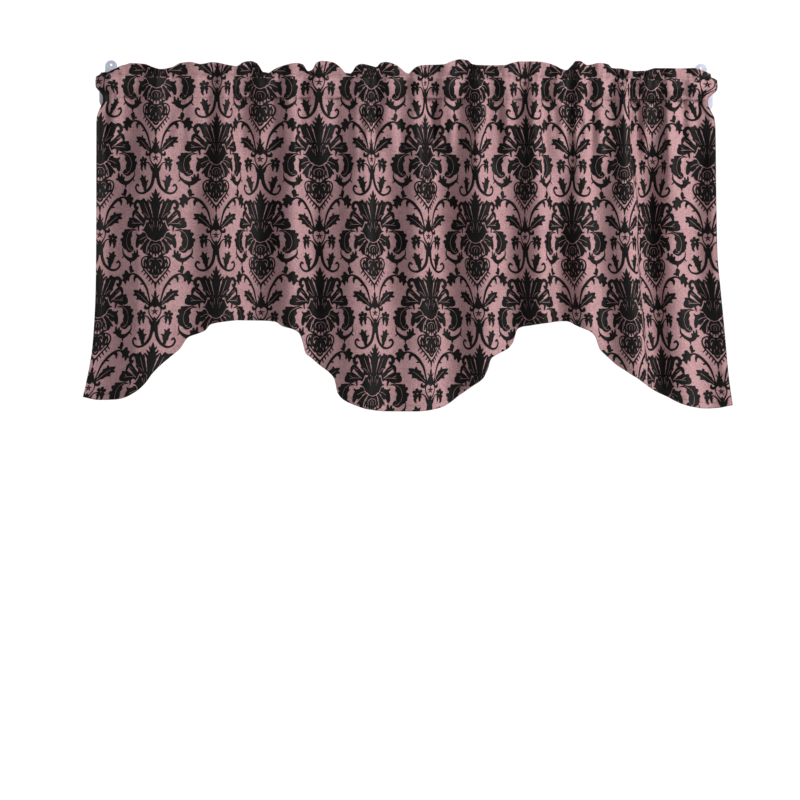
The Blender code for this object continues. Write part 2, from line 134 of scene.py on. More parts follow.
# The cut of the scalloped hem: distance along the flat cloth and drop below the rod
Cut = namedtuple("Cut", "along_mm drop_mm")
HEM_CUT = [Cut(*row) for row in (
    (0, 551), (30, 556), (60, 555), (80, 551), (100, 540), (112, 527), (122, 509), (135, 494),
    (150, 481), (168, 466), (182, 446), (200, 439), (212, 434), (222, 424), (240, 420), (280, 416),
    (330, 416), (360, 418), (380, 426), (400, 431), (412, 437), (422, 452), (432, 472), (445, 480),
    (460, 492), (480, 506), (490, 516), (500, 542), (512, 553), (530, 561), (560, 570), (600, 573),
    (650, 573), (690, 569), (710, 565), (725, 557), (740, 545), (760, 534), (780, 525), (795, 515),
    (803, 500), (811, 479), (830, 471), (850, 463), (860, 452), (869, 428), (880, 424), (900, 422),
    (930, 418), (960, 415), (980, 414), (1000, 421), (1030, 432), (1041, 441), (1050, 462), (1060, 472),
    (1080, 490), (1100, 500), (1120, 512), (1140, 522), (1170, 527), (1200, 541), (1230, 553),
    (1260, 562), (1290, 565), (1310, 564), (1339, 559),
)]

# The heading's upper edge: crowns and notches along the rod
Crown = namedtuple("Crown", "along_mm height_mm")
HEADING = [Crown(*row) for row in (
    (-540, 11), (-526, 13), (-517, 17), (-505, 22.4), (-498, 26), (-489, 28.6), (-480, 31.3),
    (-456, 29.7), (-442, 24.5), (-428, 21), (-408, 24.7), (-394, 31.8), (-376, 33.6), (-359, 30.2),
    (-338, 33.8), (-310, 28.7), (-296, 27), (-284, 34), (-272, 36), (-261, 32.5), (-254, 24),
    (-247, 11.7), (-240, 15), (-226, 24), (-208, 30), (-190, 32.9), (-180, 30.6), (-171, 19),
    (-164, 21), (-157, 33), (-147, 36.7), (-129, 35), (-115, 26.4), (-101, 12.5), (-94, 17.8),
    (-87, 28.2), (-78, 31.8), (-59, 28.4), (-52, 26.7), (-45, 33.7), (-36, 35.6), (-17, 30.4),
    (-10, 25.2), (4, 15.6), (11, 21.5), (18, 27.2), (31, 30.7), (66, 32), (80, 37.4), (94, 41.2),
    (107, 39.6), (115, 33), (125, 31), (171, 31), (184, 35), (198, 38), (233, 37.6), (247, 35.4),
    (261, 30.2), (272, 24.6), (279, 23.2), (289, 31.6), (296, 39), (303, 39), (316, 32.4), (338, 35.9),
    (352, 34), (359, 27.6), (373, 26.3), (401, 22.3), (415, 22.5), (436, 27.7), (477, 27.2), (505, 28),
    (516, 24.6), (526, 21), (540, 17),
)]
HEADING_LEAST = 3 * MM

# The heading's deepest notches run down into the pocket as small valleys
NOTCH_BELOW_MM = 25
NOTCHES = [
    here
    for before, here, after in zip(HEADING, HEADING[1:], HEADING[2:])
    if here.height_mm < min(before.height_mm, after.height_mm, NOTCH_BELOW_MM)
]
NOTCH_WIDE = 7 * MM
NOTCH_PINCH = 0.26 * MM
NOTCH_REACH = 26 * MM

# How much of the gathers goes on in the upper seam and in the ruffle, and the ruffle's lean
SEAM_WAVE = 0.24
HEADING_WAVE = 0.5
HEADING_LEAN = 10 * MM
HEADING_LEAN_FROM = 490 * MM

# How far the pocket stands open at some heights, in thousandths of fully open
Opening = namedtuple("Opening", "height_mm open_parts")
OPEN_FULLY = 1000
POCKET = [Opening(*row) for row in (
    (-28, 0), (-15, 780), (-8, 1000), (0, 1000), (12, 1000),
)]

# Small puckers along the seams, pleats under the pocket and slow waves in the skirt, each a
# sum of waves: seed and count, size, from what to what length along the cloth, and length up
# and down, which chance makes up to three times as large
Ripple = namedtuple("Ripple", "seed count size_mm from_mm to_mm rise_mm")
SEAM_PUCKERS = Ripple(3, 9, 0.75, 11, 24, 60)
PLEATS = Ripple(5, 8, 1.7, 24, 48, 240)
SLOW_WAVES = Ripple(8, 10, 2.2, 70, 180, 420)
RISES = (1, 3)
PHASES = (0, 7)

# Small single creases between the folds: place along the cloth, height, half width, and
# from where to where they run
Crease = namedtuple("Crease", "along_mm high_mm wide_mm top_mm low_mm")
CREASES = [Crease(*row) for row in (
    (84, 2.4, 10, -70, -620), (150, -1.2, 8, -90, -560), (288, 1.6, 7, -60, -200),
    (469, 4.5, 13, -70, -420), (500, -2.6, 11, -110, -520), (530, 1.6, 8, -60, -180),
    (618, 2.6, 9, -50, -170), (700, 1.8, 7, -120, -600), (748, -1.4, 6, -240, -620),
    (1150, 1.5, 8, -80, -330), (1225, 2.0, 9, -90, -620), (1322, -1.6, 8, -120, -600),
)]
CREASE_FADES = 60 * MM

# How far puckers reach from their seam, and the upper seam's puckers against the lower one's
PUCKER_REACH = 9 * MM
HEADING_PUCKERS = 1.15

# How far the pleats reach down and how much they are raised, and where the waves begin and
# how far they take to grow, below the lower seam
PLEAT_REACH = 75 * MM
PLEAT_GAIN = 2.2
WAVES_FROM = 20 * MM
WAVES_GROW = 120 * MM

# How much of all these the turned-back layer has
BACK_RIPPLES = 0.6

# Rows of the cloth's mesh, from the lower seam down, in the hem, up the pocket, round its
# shoulder and up the heading; the skirt's rows are closer near the seam
SKIRT_STEPS = 56
SKIRT_CLOSER = 1.2
HEM_STEPS = 3
POCKET_STEPS = 12
SHOULDER_STEPS = 4
HEADING_STEPS = 7

# The mesh's narrowest column in mm, the rise of the heading's turned edge, the cloth's extra
# room round the rod, and how far inside its last point a table is read at most
NARROWEST_COLUMN = 0.3
TURN_RISE = 0.5 * MM
ROD_CLEAR = 0.1 * MM
LAST_INSIDE = 1.001

# The print's repeat in mm: distance between two columns of motifs, height of the repeat on
# the cloth and as it is drawn below, the first column's place on the flat cloth, and the
# height of its palmette's tip
HALF_PITCH = 109.4
DROP = 267.2
DRAWN_DROP = 262.0
FIRST_COLUMN = 12.9
FIRST_TIP = -54.1

# How far each column is moved along the cloth, in mm, because the folds in the photograph
# hide a little more or less cloth; the column at which the front's print is split in two;
# and the repeats up and down that are tried for each column
COLUMN_MOVES = (-6.5, -6.2, 2.3, -10.5, 10.8, 5, 8, 10.5, 9, 7, 9, -12, -3.5)
MIDDLE_COLUMN = 6
LAPS = range(-2, 5)

# How far the print stands off the cloth
PRINT_LIFT = 0.4 * MM

# The print's outline is read from a field of distances to its strokes, in mm: the field's
# step, its value where no stroke is near, how far round a stroke it is worked out, and how
# far the outline may be simplified
FIELD_STEP = 0.5
CLEAR_GROUND = 5.0
STROKE_MARGIN = 2
EDGE_SLACK = 0.09

# The print's triangles, in mm: columns to a pitch and rows to a drop of its inner points, how
# deep in the black these begin, the longest edge, how near two points are one point, and the
# smallest triangles that are kept on the flat and on the hanging cloth
COLUMNS_A_PITCH = 40
ROWS_A_DROP = 82
DEEP_BLACK = -0.7
LONGEST_EDGE = 4.4
SAME_POINT = 1e-5
FLAT_SLIVER = 1e-5
HUNG_SLIVER = 1e-9

# The heights that the print covers on the front and on the flat of the turned-back layer,
# and how far it ends from the hem and from the lower seam
FRONT_SPAN = (-0.6, 0.06)
TURNED_SPAN = (0.0, 0.14)
HEM_MARGIN = 0.3 * MM
SEAM_MARGIN = 0.4 * MM

# One half of a motif, right of its middle line, as strokes
Stroke = namedtuple("Stroke", "points teeth vein")


def stroke(*points, teeth=0, vein=0):
    """A stroke by its points: across and down from the palmette's tip and half its width there, in mm.

    A leaf has a number of teeth, and vein is 1 if a line of ground runs up its middle.
    """
    return Stroke(points, teeth, vein)


PALMETTE = (
    stroke((0, 0.5, 0.8), (0, 8, 3.2), (0, 18, 5.2), (0, 28, 8.4), (0, 38, 6.6), (0, 50, 6.0)),
    stroke((2, 14, 2.4), (4.8, 10.4, 1.7), (6.2, 7.4, 1.0)),
    stroke((3, 21, 2.6), (7.6, 16.8, 2.0), (9.4, 13.8, 1.1)),
    stroke((5, 28, 2.8), (9.8, 22.6, 2.1), (11.6, 19.4, 1.1)),
    stroke((9, 52, 3.4), (14, 42, 7.0), (19.6, 31, 8.8), (21.8, 24, 5.6), (21.6, 18.2, 2.1)),
    stroke((14, 30, 3.0), (13.8, 22, 1.9), (13.2, 18.6, 1.0)),
    stroke((22, 28, 4.6), (26.0, 21.0, 2.4)),
    stroke(
        (24.6, 30, 4.0), (29, 23.6, 3.2), (34, 21.4, 3.2), (38.6, 25, 3.4), (39.0, 30.6, 3.4),
        (35.4, 34.2, 3.0), (32.8, 31.6, 1.8),
    ),
    stroke((14, 46, 4.6), (19.6, 43, 3.6), (24.4, 40.6, 2.1)),
    stroke((7, 47, 4.4), (13.6, 51, 3.8), (18.6, 48.2, 2.2)),
    stroke(
        (16, 61, 3.0), (22, 53.4, 4.2), (31, 45.4, 4.6), (38.6, 39.6, 4.0), (42.4, 42, 3.2),
        (43.4, 48, 2.4),
    ),
    stroke((17, 64.6, 2.2), (27, 59, 4.0), (37, 58.2, 7.0), (46, 58.8, 8.4), (53.4, 62.8, 3.2), teeth=4),
    stroke((46, 54, 4.4), (51, 51.4, 2.6)),
    stroke((33, 62, 2.4), (31.6, 68, 2.0), (31, 72.0, 1.3)),
    stroke((12, 77, 2.6), (18, 71.8, 2.1), (23.4, 70.2, 1.7)),
)
COLLAR = (
    stroke((0, 50, 9.0), (0, 62, 14.0), (0, 70, 17.8), (0, 73, 16.4)),
    stroke((10, 76, 5.0), (17, 70.6, 4.0), (21.6, 63.6, 1.6)),
    stroke((13, 81, 3.0), (20, 82, 5.6), (28, 85.6, 7.2), (33, 92.4, 4.8), (34.6, 98.8, 2.9)),
    stroke((28, 82, 4.0), (33, 80.6, 2.4), (35.8, 77.8, 1.4)),
    stroke((18, 79, 3.0), (22.8, 76.6, 2.6)),
    stroke((23, 89, 3.6), (26.4, 94.2, 2.0)),
    stroke((12, 87, 2.8), (18.0, 96.4, 4.8), (20.0, 103, 4.6), (19.4, 108.6, 2.8)),
    stroke((18.6, 95, 3.4), (23.4, 99.2, 2.5), (27.0, 103.4, 1.8)),
    stroke((0, 92, 8.0), (0, 97, 11.8), (0, 101, 11.4)),
    stroke((0, 104, 1.9), (0, 114.8, 1.4)),
    stroke((4.8, 103, 1.9), (5.0, 113.2, 1.3)),
    stroke((9.6, 101, 2.2), (10.4, 110.8, 1.4)),
    stroke((12.4, 100, 1.9), (14.6, 107.6, 1.3)),
)
HEART = (
    stroke(
        (10, 117.4, 1.8), (17, 116.0, 1.5), (23.6, 119.4, 1.5), (25.4, 127, 1.5), (21.6, 136.6, 1.5),
        (14.6, 145, 1.5), (0, 162.4, 1.9),
    ),
    stroke((21.8, 139, 1.4), (24.8, 142.2, 1.3)),
    stroke((17.6, 143.5, 1.4), (20.6, 147.2, 1.3)),
    stroke((13, 148.6, 1.4), (15.8, 152.8, 1.3)),
    stroke((8.5, 153.6, 1.4), (11.2, 158, 1.3)),
    stroke((4.5, 158.4, 1.5), (6.8, 163, 1.3)),
    stroke((0, 162, 2.6), (0, 171.5, 0.8)),
    stroke((6, 116.4, 2.0), (10.8, 113.2, 2.5), (16.4, 110.4, 1.4)),
    stroke((0, 119, 2.6), (0, 130, 9.0), (0, 141, 8.4), (0, 149, 5.0)),
    stroke((5, 121, 4.4), (12.0, 122.4, 5.6), (16.6, 127.4, 5.4), (13.4, 135, 5.0), (8, 142, 5.0)),
    stroke((18.4, 122, 3.2), (22.6, 127.6, 1.8), (19.4, 134.6, 2.4)),
)
SIDE_SCROLL = (
    stroke(
        (35, 71, 0.8), (45, 70.6, 2.6), (54.4, 77, 7.4), (58, 88, 9.4), (56, 98.4, 7.0),
        (50.6, 105, 3.9), (45.0, 103.4, 3.0), (46.4, 98.8, 2.0), teeth=5, vein=1,
    ),
    stroke((54, 74, 4.0), (60.6, 71.6, 3.0)),
    stroke((59, 80, 5.0), (65.4, 77, 3.4)),
    stroke((62, 88, 5.0), (67.8, 87, 3.4)),
    stroke((60, 95, 5.0), (65.4, 96, 2.8)),
    stroke((51, 84, 3.0), (46.4, 79.6, 1.8)),
    stroke(
        (65.6, 101, 0.7), (65, 110, 1.7), (58, 117.4, 2.8), (48.6, 121.4, 3.8), (39.6, 118, 4.0),
        (35, 112, 3.0),
    ),
    stroke((62, 113, 1.8), (67.4, 118.4, 0.9)),
    stroke((49, 122, 3.2), (48.6, 129.4, 0.8)),
    stroke((37, 116, 3.2), (34.4, 109, 2.4), (34.2, 104.6, 1.4)),
    stroke((38, 116, 3.0), (30.6, 114.6, 1.8)),
    stroke((39.6, 113, 2.6), (40.2, 107, 1.9)),
    stroke((42.6, 116.6, 2.4), (44.4, 111.4, 1.9)),
)
BOUQUET = (
    stroke(
        (7.5, 200, 1.4), (10.6, 186, 1.5), (16.5, 168, 2.2), (29, 152.5, 2.8), (42, 145.5, 1.8),
        (50, 147.5, 1.6),
    ),
    stroke((50, 147.4, 2.6), (57, 149.4, 5.6), (60.6, 154.6, 4.4), (59.4, 161.6, 1.8)),
    stroke((54, 147, 3.4), (58.6, 142.8, 3.8)),
    stroke((58, 148, 3.8), (64.4, 148.2, 2.8)),
    stroke((54, 150, 3.2), (53.4, 156.2, 2.3)),
    stroke((61, 154, 3.0), (65.4, 156.4, 1.9)),
    stroke((47.4, 146, 1.5), (47.2, 139.6, 3.3), (48.2, 135.4, 3.9), (47.6, 131.8, 1.8)),
    stroke((46.6, 141, 1.8), (42.0, 140.2, 2.0)),
    stroke((33, 150, 2.0), (39, 151.5, 3.0), (40, 158.5, 1.4)),
    stroke((21, 162, 2.0), (26.5, 163, 1.4)),
    stroke((8.5, 199, 1.6), (18, 190, 4.8), (28, 181.5, 6.6), (39.5, 174.5, 2.2), teeth=4, vein=1),
    stroke((22, 186, 3.4), (20.6, 178.4, 2.0)),
    stroke((28, 181, 4.0), (27.4, 172.4, 2.2)),
    stroke((26, 185, 3.6), (33.4, 188.6, 1.9)),
    stroke((32, 180, 3.6), (40.4, 181.4, 2.0)),
    stroke((7, 197, 2.4), (11.5, 203.5, 2.4), (16.6, 203.5, 2.8), (17, 199, 1.4)),
    stroke((0, 173.5, 0.8), (0, 179, 2.6), (0, 186, 2.4), (0, 193, 6.5), (0, 199, 4.4)),
    stroke((1, 188, 2.0), (6.5, 181, 0.8)),
    stroke((3, 195, 4.0), (8, 200, 2.4)),
)
CUP_AND_FLOWER = (
    stroke((7.8, 199, 1.6), (10.4, 207, 1.2), (8.0, 216, 1.2), (0, 227, 2.2)),
    stroke((0, 209.5, 2.0), (0, 204.2, 0.7)),
    stroke((0, 209.5, 1.9), (6.0, 208, 0.6)),
    stroke((0, 210, 1.9), (3.9, 214.6, 0.6)),
    stroke((0, 218.5, 0.6), (0, 222, 2.4), (0, 226, 2.0)),
    stroke((23.5, 216, 2.4), (18.6, 212.2, 3.1)),
    stroke((23.5, 216, 2.4), (24.8, 209.8, 3.1)),
    stroke((23.5, 216, 2.4), (29.6, 213.8, 3.1)),
    stroke((23.5, 216, 2.4), (28.6, 220.4, 3.1)),
    stroke((23.5, 216, 2.4), (19.4, 221.2, 3.1)),
    stroke((26, 221, 3.4), (27.4, 227, 2.6), (25.6, 231.6, 1.4)),
    stroke((20, 223, 2.4), (19.4, 229, 1.5)),
    stroke((19, 217, 1.4), (12.5, 218.5, 1.3), (4.5, 228, 1.8)),
)
STEMS = (
    stroke((9, 224, 1.0), (5, 229.5, 3.4), (0, 233, 5.4), (0, 243, 1.6)),
    stroke(
        (4.0, 235, 2.2), (4.2, 246, 3.0), (7.6, 257, 2.9), (14.5, 265.5, 2.6), (24, 270, 2.2),
        (33.6, 267.6, 1.9), (38.2, 260.6, 2.0), (35.6, 255, 2.0), (32, 257, 1.9),
    ),
    stroke((26, 239, 1.6), (23, 247, 4.4), (20, 256, 4.4), (18.6, 267, 1.6), teeth=4),
    stroke((23.6, 247, 3.0), (29.6, 245.4, 1.6)),
    stroke((20.4, 254, 3.0), (13.6, 248.6, 1.5)),
    stroke((22.4, 247, 2.8), (18.2, 240.6, 1.4)),
)
MOTIF = PALMETTE + COLLAR + HEART + SIDE_SCROLL + BOUQUET + CUP_AND_FLOWER + STEMS

# Places inside the motif where the ground shows
SLITS = (
    ((12.6, 21, 0.5), (9.4, 31, 0.45), (6.2, 41, 0.4), (4.6, 50, 0.4)),
    ((9.8, 50, 0.35), (15, 38, 0.4), (20.4, 25, 0.4)),
    ((12.4, 50, 0.35), (17, 44.6, 0.4), (21.6, 42, 0.35)),
    ((31, 45.6, 0.35), (38.6, 41.4, 0.4)),
    ((20.6, 50.6, 0.5), (27, 43.4, 0.8), (33, 37.4, 1.0)),
    ((23, 59.6, 0.5), (32.4, 52.6, 1.0), (41, 48, 1.0)),
    ((16.6, 55, 0.8), (18.8, 62, 0.9), (22.6, 68.6, 1.1)),
    ((27, 59, 0.35), (37, 59, 0.4), (46, 60, 0.4)),
    ((40, 58.6, 0.35), (46, 54.6, 0.4)),
    ((6.4, 53.4, 0.6), (7.0, 54.6, 0.5)),
    ((8.0, 68, 0.35), (10.8, 61.6, 0.6)),
    ((2.6, 66, 0.35), (3.6, 55.4, 0.4)),
    ((6.0, 72, 0.35), (6.4, 61.4, 0.35)),
    ((17.4, 77, 0.6), (11.6, 85.8, 0.5), (0, 90.2, 0.5)),
    ((9.8, 86.2, 1.1), (12, 84.4, 0.9)),
    ((14.6, 82, 0.35), (22, 83.8, 0.4), (29, 87.6, 0.4)),
    ((10.4, 90.4, 0.45), (14.4, 96, 0.5), (15.6, 102, 0.6), (16.4, 107, 0.7)),
    ((0, 94.4, 0.45), (5.0, 95.4, 0.45), (8.4, 99.6, 0.45), (7.4, 105, 0.4)),
    ((2.4, 99, 0.4), (2.4, 106, 0.45)),
    ((0, 98, 0.7), (0, 98.6, 0.7)),
    ((20.8, 121.4, 0.8), (22.9, 126, 0.9), (21.4, 131.4, 0.8)),
    ((16.4, 119.8, 1.2), (16.6, 119.9, 1.2)),
    ((18.2, 127, 0.6), (17.0, 132.4, 0.7)),
    ((17.6, 137.4, 0.5), (12.6, 143.6, 0.6), (6, 151.4, 0.6), (0, 157.4, 0.7)),
    ((12.0, 137.6, 1.2), (11, 139.4, 1.0)),
    ((4.6, 138, 0.4), (5.4, 142.6, 0.5)),
    ((2.6, 121.6, 0.35), (7.4, 119.6, 0.4), (11.4, 123, 0.4), (9.6, 127.4, 0.4), (6.6, 125.4, 0.4)),
    ((0, 132, 0.5), (0, 137, 0.6)),
    ((3.2, 146.6, 0.4), (0, 150, 0.5)),
    ((51.4, 102.2, 0.8), (51.5, 102.3, 0.8)),
    ((46.8, 144.4, 0.8), (46.9, 144.5, 0.8)),
    ((0, 209.8, 0.7), (0, 209.9, 0.7)),
    ((23.5, 216, 1.0), (23.6, 216, 1.0)),
)

# How strokes are drawn: points to a piece of a leaf and of another stroke, least half width,
# from where to where a leaf has its vein and half that vein's width, the teeth's depth and
# middle, and how much all black strokes are widened, or made thinner by a minus. Widths in mm
LEAF_STEPS = 24
STROKE_STEPS = 9
LEAST_HALF_WIDTH = 0.3
VEIN_FROM = 0.12
VEIN_TO = 0.84
VEIN_HALF_WIDTH = 0.38
TOOTH_DEPTH = 0.6
TOOTH_MIDDLE = 0.62
SWELL = -0.2

# Stitching: each stitch is a thread with a few rings of points, and its ends sink into the
# cloth. Then how far the rows of stitches begin from the edges and the seam, and lie from
# the hem's and the sides' edges
STITCH_LONG = 2.6 * MM
STITCH_PITCH = 3.4 * MM
STITCH_THICK = 0.3 * MM
STITCH_SUNK = 0.25 * MM
STITCH_RINGS = (-0.5, -0.25, 0.25, 0.5)
STITCH_SIDES = 5
SEAM_STITCH_IN = 4 * MM
SIDE_STITCH_DOWN = 6 * MM
HEM_STITCH_UP = 10 * MM
SIDE_STITCH_IN = 12 * MM

# The weave's threads
THREAD_PITCH = 0.8 * MM

# Colours, as linear light
GROUND_DARK = (0.235, 0.128, 0.138)
GROUND_LIGHT = (0.490, 0.285, 0.300)
WRONG_DARK = (0.27, 0.17, 0.175)
WRONG_LIGHT = (0.42, 0.29, 0.29)
PRINT_DARK = (0.0006, 0.0006, 0.0006)
PRINT_LIGHT = (0.0135, 0.0140, 0.0132)
THREAD_MEAN = (0.08, 0.05, 0.052)
THREAD_DARK = (0.05, 0.03, 0.032)
THREAD_LIGHT = (0.11, 0.065, 0.07)
ENAMEL_MEAN = (0.55, 0.59, 0.70)
ENAMEL_DARK = (0.47, 0.51, 0.62)
ENAMEL_LIGHT = (0.60, 0.64, 0.75)
FLOOR_MEAN = (0.8, 0.79, 0.78)
FLOOR_DARK = (0.76, 0.755, 0.75)
FLOOR_LIGHT = (0.84, 0.835, 0.83)

# Sheens: weight, roughness and tint
GROUND_SHEEN = (0.25, 0.5, (1.0, 0.86, 0.86))
WRONG_SHEEN = (0.1, 0.5, (1.0, 0.9, 0.9))
PRINT_SHEEN = (0.045, 0.35, (0.86, 0.96, 0.92))
THREAD_SHEEN = (0.1, 0.5, (0.9, 0.8, 0.8))

# Light: the surround before and behind the object and where one turns into the other, and
# the lamps
Lamp = namedtuple("Lamp", "name watts size color place")
SURROUND_FRONT = 0.42
SURROUND_BACK = 1.05
SURROUND_TURN = (-0.1, 0.75)
LAMP_AIM = (0, -0.05, -0.25)
LAMPS = (
    Lamp("key", 112, 1.3, (1.0, 0.985, 0.97), (2.5, -1.9, 0.7)),
    Lamp("fill", 8, 1.8, (0.96, 0.98, 1.0), (-2.2, -2.6, 0.2)),
)

# Camera: the photograph is square, and one of its pixels covers this much of the object
PHOTO_PIXELS = 800
PIXEL = 1.742 * MM
CAMERA_X = -10.5 * MM
CAMERA_Z = -553 * MM
CAMERA_AWAY = 14.0
CLOTH_PLANE = -0.055
SENSOR = 36.0
FLOOR_Z = -2.0
FLOOR_RADIUS = 3.2
FLOOR_SIDES = 96


def ease(share):
    """0 to 1 along an S curve, flat at both ends."""
    share = np.clip(share, 0, 1)
    return share * share * (3 - 2 * share)


def through(rows, at):
    """A smooth line through a table's (place, value) rows, both in mm, read at places in metres."""
    places = np.array([row[0] for row in rows]) * MM
    values = np.array([row[1] for row in rows]) * MM
    slopes = np.diff(values) / np.diff(places)
    turning = slopes[:-1] * slopes[1:] <= 0
    inner = np.where(turning, 0, 2 * slopes[:-1] * slopes[1:] / (slopes[:-1] + slopes[1:] + turning))
    tangents = np.concatenate([slopes[:1], inner, slopes[-1:]])
    at = np.clip(at, places[0], places[-1])
    piece = np.clip(np.searchsorted(places, at, side="right") - 1, 0, len(slopes) - 1)
    length = places[piece + 1] - places[piece]
    t = (at - places[piece]) / length
    start = (1 + 2 * t) * (1 - t) ** 2 * values[piece]
    leaving = t * (1 - t) ** 2 * length * tangents[piece]
    end = t * t * (3 - 2 * t) * values[piece + 1]
    arriving = t * t * (t - 1) * length * tangents[piece + 1]
    return start + leaving + end + arriving


def flanks():
    """(length, steepest angle, gather at its start) of each flank of each fold, in turn."""
    found = []
    for fold in FOLDS:
        found.append((fold.away_mm * MM, math.radians(fold.away_deg), fold.crest_mm * MM))
        found.append((fold.back_mm * MM, math.radians(fold.back_deg), fold.tuck_mm * MM))
    return [flank for flank in found if flank[0] > 0]


def phase_at(along):
    """Fold phase (crests at 0, 2 pi and so on), flank angle and gather height along the flat cloth."""
    rows = flanks()
    ends = np.concatenate([[0], np.cumsum([row[0] for row in rows])])
    flank = np.clip(np.searchsorted(ends, along, side="right") - 1, 0, len(rows) - 1)
    share = (along - ends[flank]) / np.diff(ends)[flank]
    phase = (flank + share) * math.pi
    angle = np.array([row[1] for row in rows])[flank]
    heights = np.array([row[2] for row in rows] + [rows[-1][2]])
    gather = heights[flank] + (heights[flank + 1] - heights[flank]) * ease(share)
    return phase, angle, gather


def fold_shares(height):
    """Shares of the cloth's tilt that are in gathers, two to a fold, and in folds, at a height."""
    opening = ease((LOWER_SEAM - height) / (LOWER_SEAM - FOLDS_FULL))
    folds = FOLD_SHARE_TOP + (1 - FOLD_SHARE_TOP) * opening
    gathers = np.sqrt(1 - folds**2)
    lowest = -max(row.drop_mm for row in HEM_CUT) * MM
    flare = ease((FLARE_FROM - height) / (FLARE_FROM - lowest))
    return gathers, folds * (1 - (1 - FOLD_SHARE_HEM) * flare)


def level_line(along, height):
    """The cloth's line in one level section: its share of the width across, and how far forward."""
    phase, angle, _ = phase_at(along)
    gathers, folds = fold_shares(height)
    gathered = np.minimum(angle, math.radians(GATHER_MOST_DEG))
    tilt = angle * folds * np.sin(phase) + gathered * gathers * np.sin(2 * phase)
    step = FLAT_WIDTH / (FINE_STEPS - 1)
    x = np.concatenate([[0], np.cumsum((np.cos(tilt)[1:] + np.cos(tilt)[:-1]) / 2 * step)])
    y = np.concatenate([[0], np.cumsum((np.sin(tilt)[1:] + np.sin(tilt)[:-1]) / 2 * step)])
    return x / x[-1], y.mean() - y


def sections():
    """Heights of the level sections, and where the places along the flat cloth lie in each.

    Each section's middle line comes nearer the wall from left to right, by as much as the solid's.
    """
    along = np.linspace(0, FLAT_WIDTH, FINE_STEPS)
    heights = np.linspace(WIDTHS[0].height_mm, WIDTHS[-1].height_mm, LEVELS) * MM
    left_drawn = np.exp(-((along / SIDE_DRAW_REACH) ** 2))
    right_drawn = np.exp(-(((FLAT_WIDTH - along) / SIDE_DRAW_REACH) ** 2))
    marks = np.concatenate([[0], np.cumsum([row[0] for row in flanks()])])
    plumb = np.interp(marks, along, level_line(along, PLUMB_HEIGHT)[0])
    across, forward = [], []
    for height in heights:
        x, y = level_line(along, height)
        x = x + np.interp(along, marks, plumb - np.interp(marks, along, x))
        left = through([(row.height_mm, row.left_mm) for row in WIDTHS], height)
        right = through([(row.height_mm, row.right_mm) for row in WIDTHS], height)
        inward = through(SIDE_DRAW, height)
        across.append(left + x * (right - left) + inward * (left_drawn - right_drawn))
        opening = ease((LOWER_SEAM - height) / (LOWER_SEAM - FOLDS_FULL))
        approach = APPROACH_TOP + (APPROACH - APPROACH_TOP) * opening
        slope, middle = np.polyfit(across[-1], y, 1)
        forward.append(y - middle - (slope + approach) * across[-1])
    return heights, np.array(across), np.array(forward)


SECTIONS = sections()


def hang(along, height):
    """Across and forward place of points of the hanging cloth, by place along the flat cloth and height."""
    heights, across, forward = SECTIONS
    level = np.clip((height - heights[0]) / (heights[1] - heights[0]), 0, LEVELS - LAST_INSIDE)
    low = level.astype(int)
    share = level - low
    place = np.clip(along / FLAT_WIDTH * (FINE_STEPS - 1), 0, FINE_STEPS - LAST_INSIDE)
    left = place.astype(int)
    part = place - left

    def read(table):
        lower = table[low, left] * (1 - part) + table[low, left + 1] * part
        upper = table[low + 1, left] * (1 - part) + table[low + 1, left + 1] * part
        return lower * (1 - share) + upper * share

    return read(across), read(forward)


def round_corner(across, forward, height, bend):
    """Points beside the rod's line, carried round its curved ends; forward is outwards from that line."""
    start = ROD_RETURN_X - ROD_BEND
    past = np.maximum(np.abs(across) - start, 0)
    radius = ROD_BEND / np.maximum(bend, STRAIGHT)
    turn = past / radius
    x = np.minimum(np.abs(across), start) + np.where(turn > 0, (radius + forward) * np.sin(turn), 0)
    y = -ROD_FORWARD - forward + np.where(turn > 0, (radius + forward) * (1 - np.cos(turn)), 0)
    x = x * np.sign(across)
    return np.stack([x, y, height - FALL * x], axis=-1)


def ripple(kind, along, height):
    """A sum of soft waves, mostly along the cloth, about as large as its table's row says."""
    chance = np.random.default_rng(kind.seed)
    total = np.zeros(np.broadcast(along, height).shape)
    for _ in range(kind.count):
        length = chance.uniform(kind.from_mm, kind.to_mm) * MM
        rise = chance.choice((-1, 1)) * chance.uniform(*RISES) * kind.rise_mm * MM
        total = total + np.sin(2 * math.pi * (along / length + height / rise) + chance.uniform(*PHASES))
    return total * kind.size_mm * MM / math.sqrt(kind.count / 2)


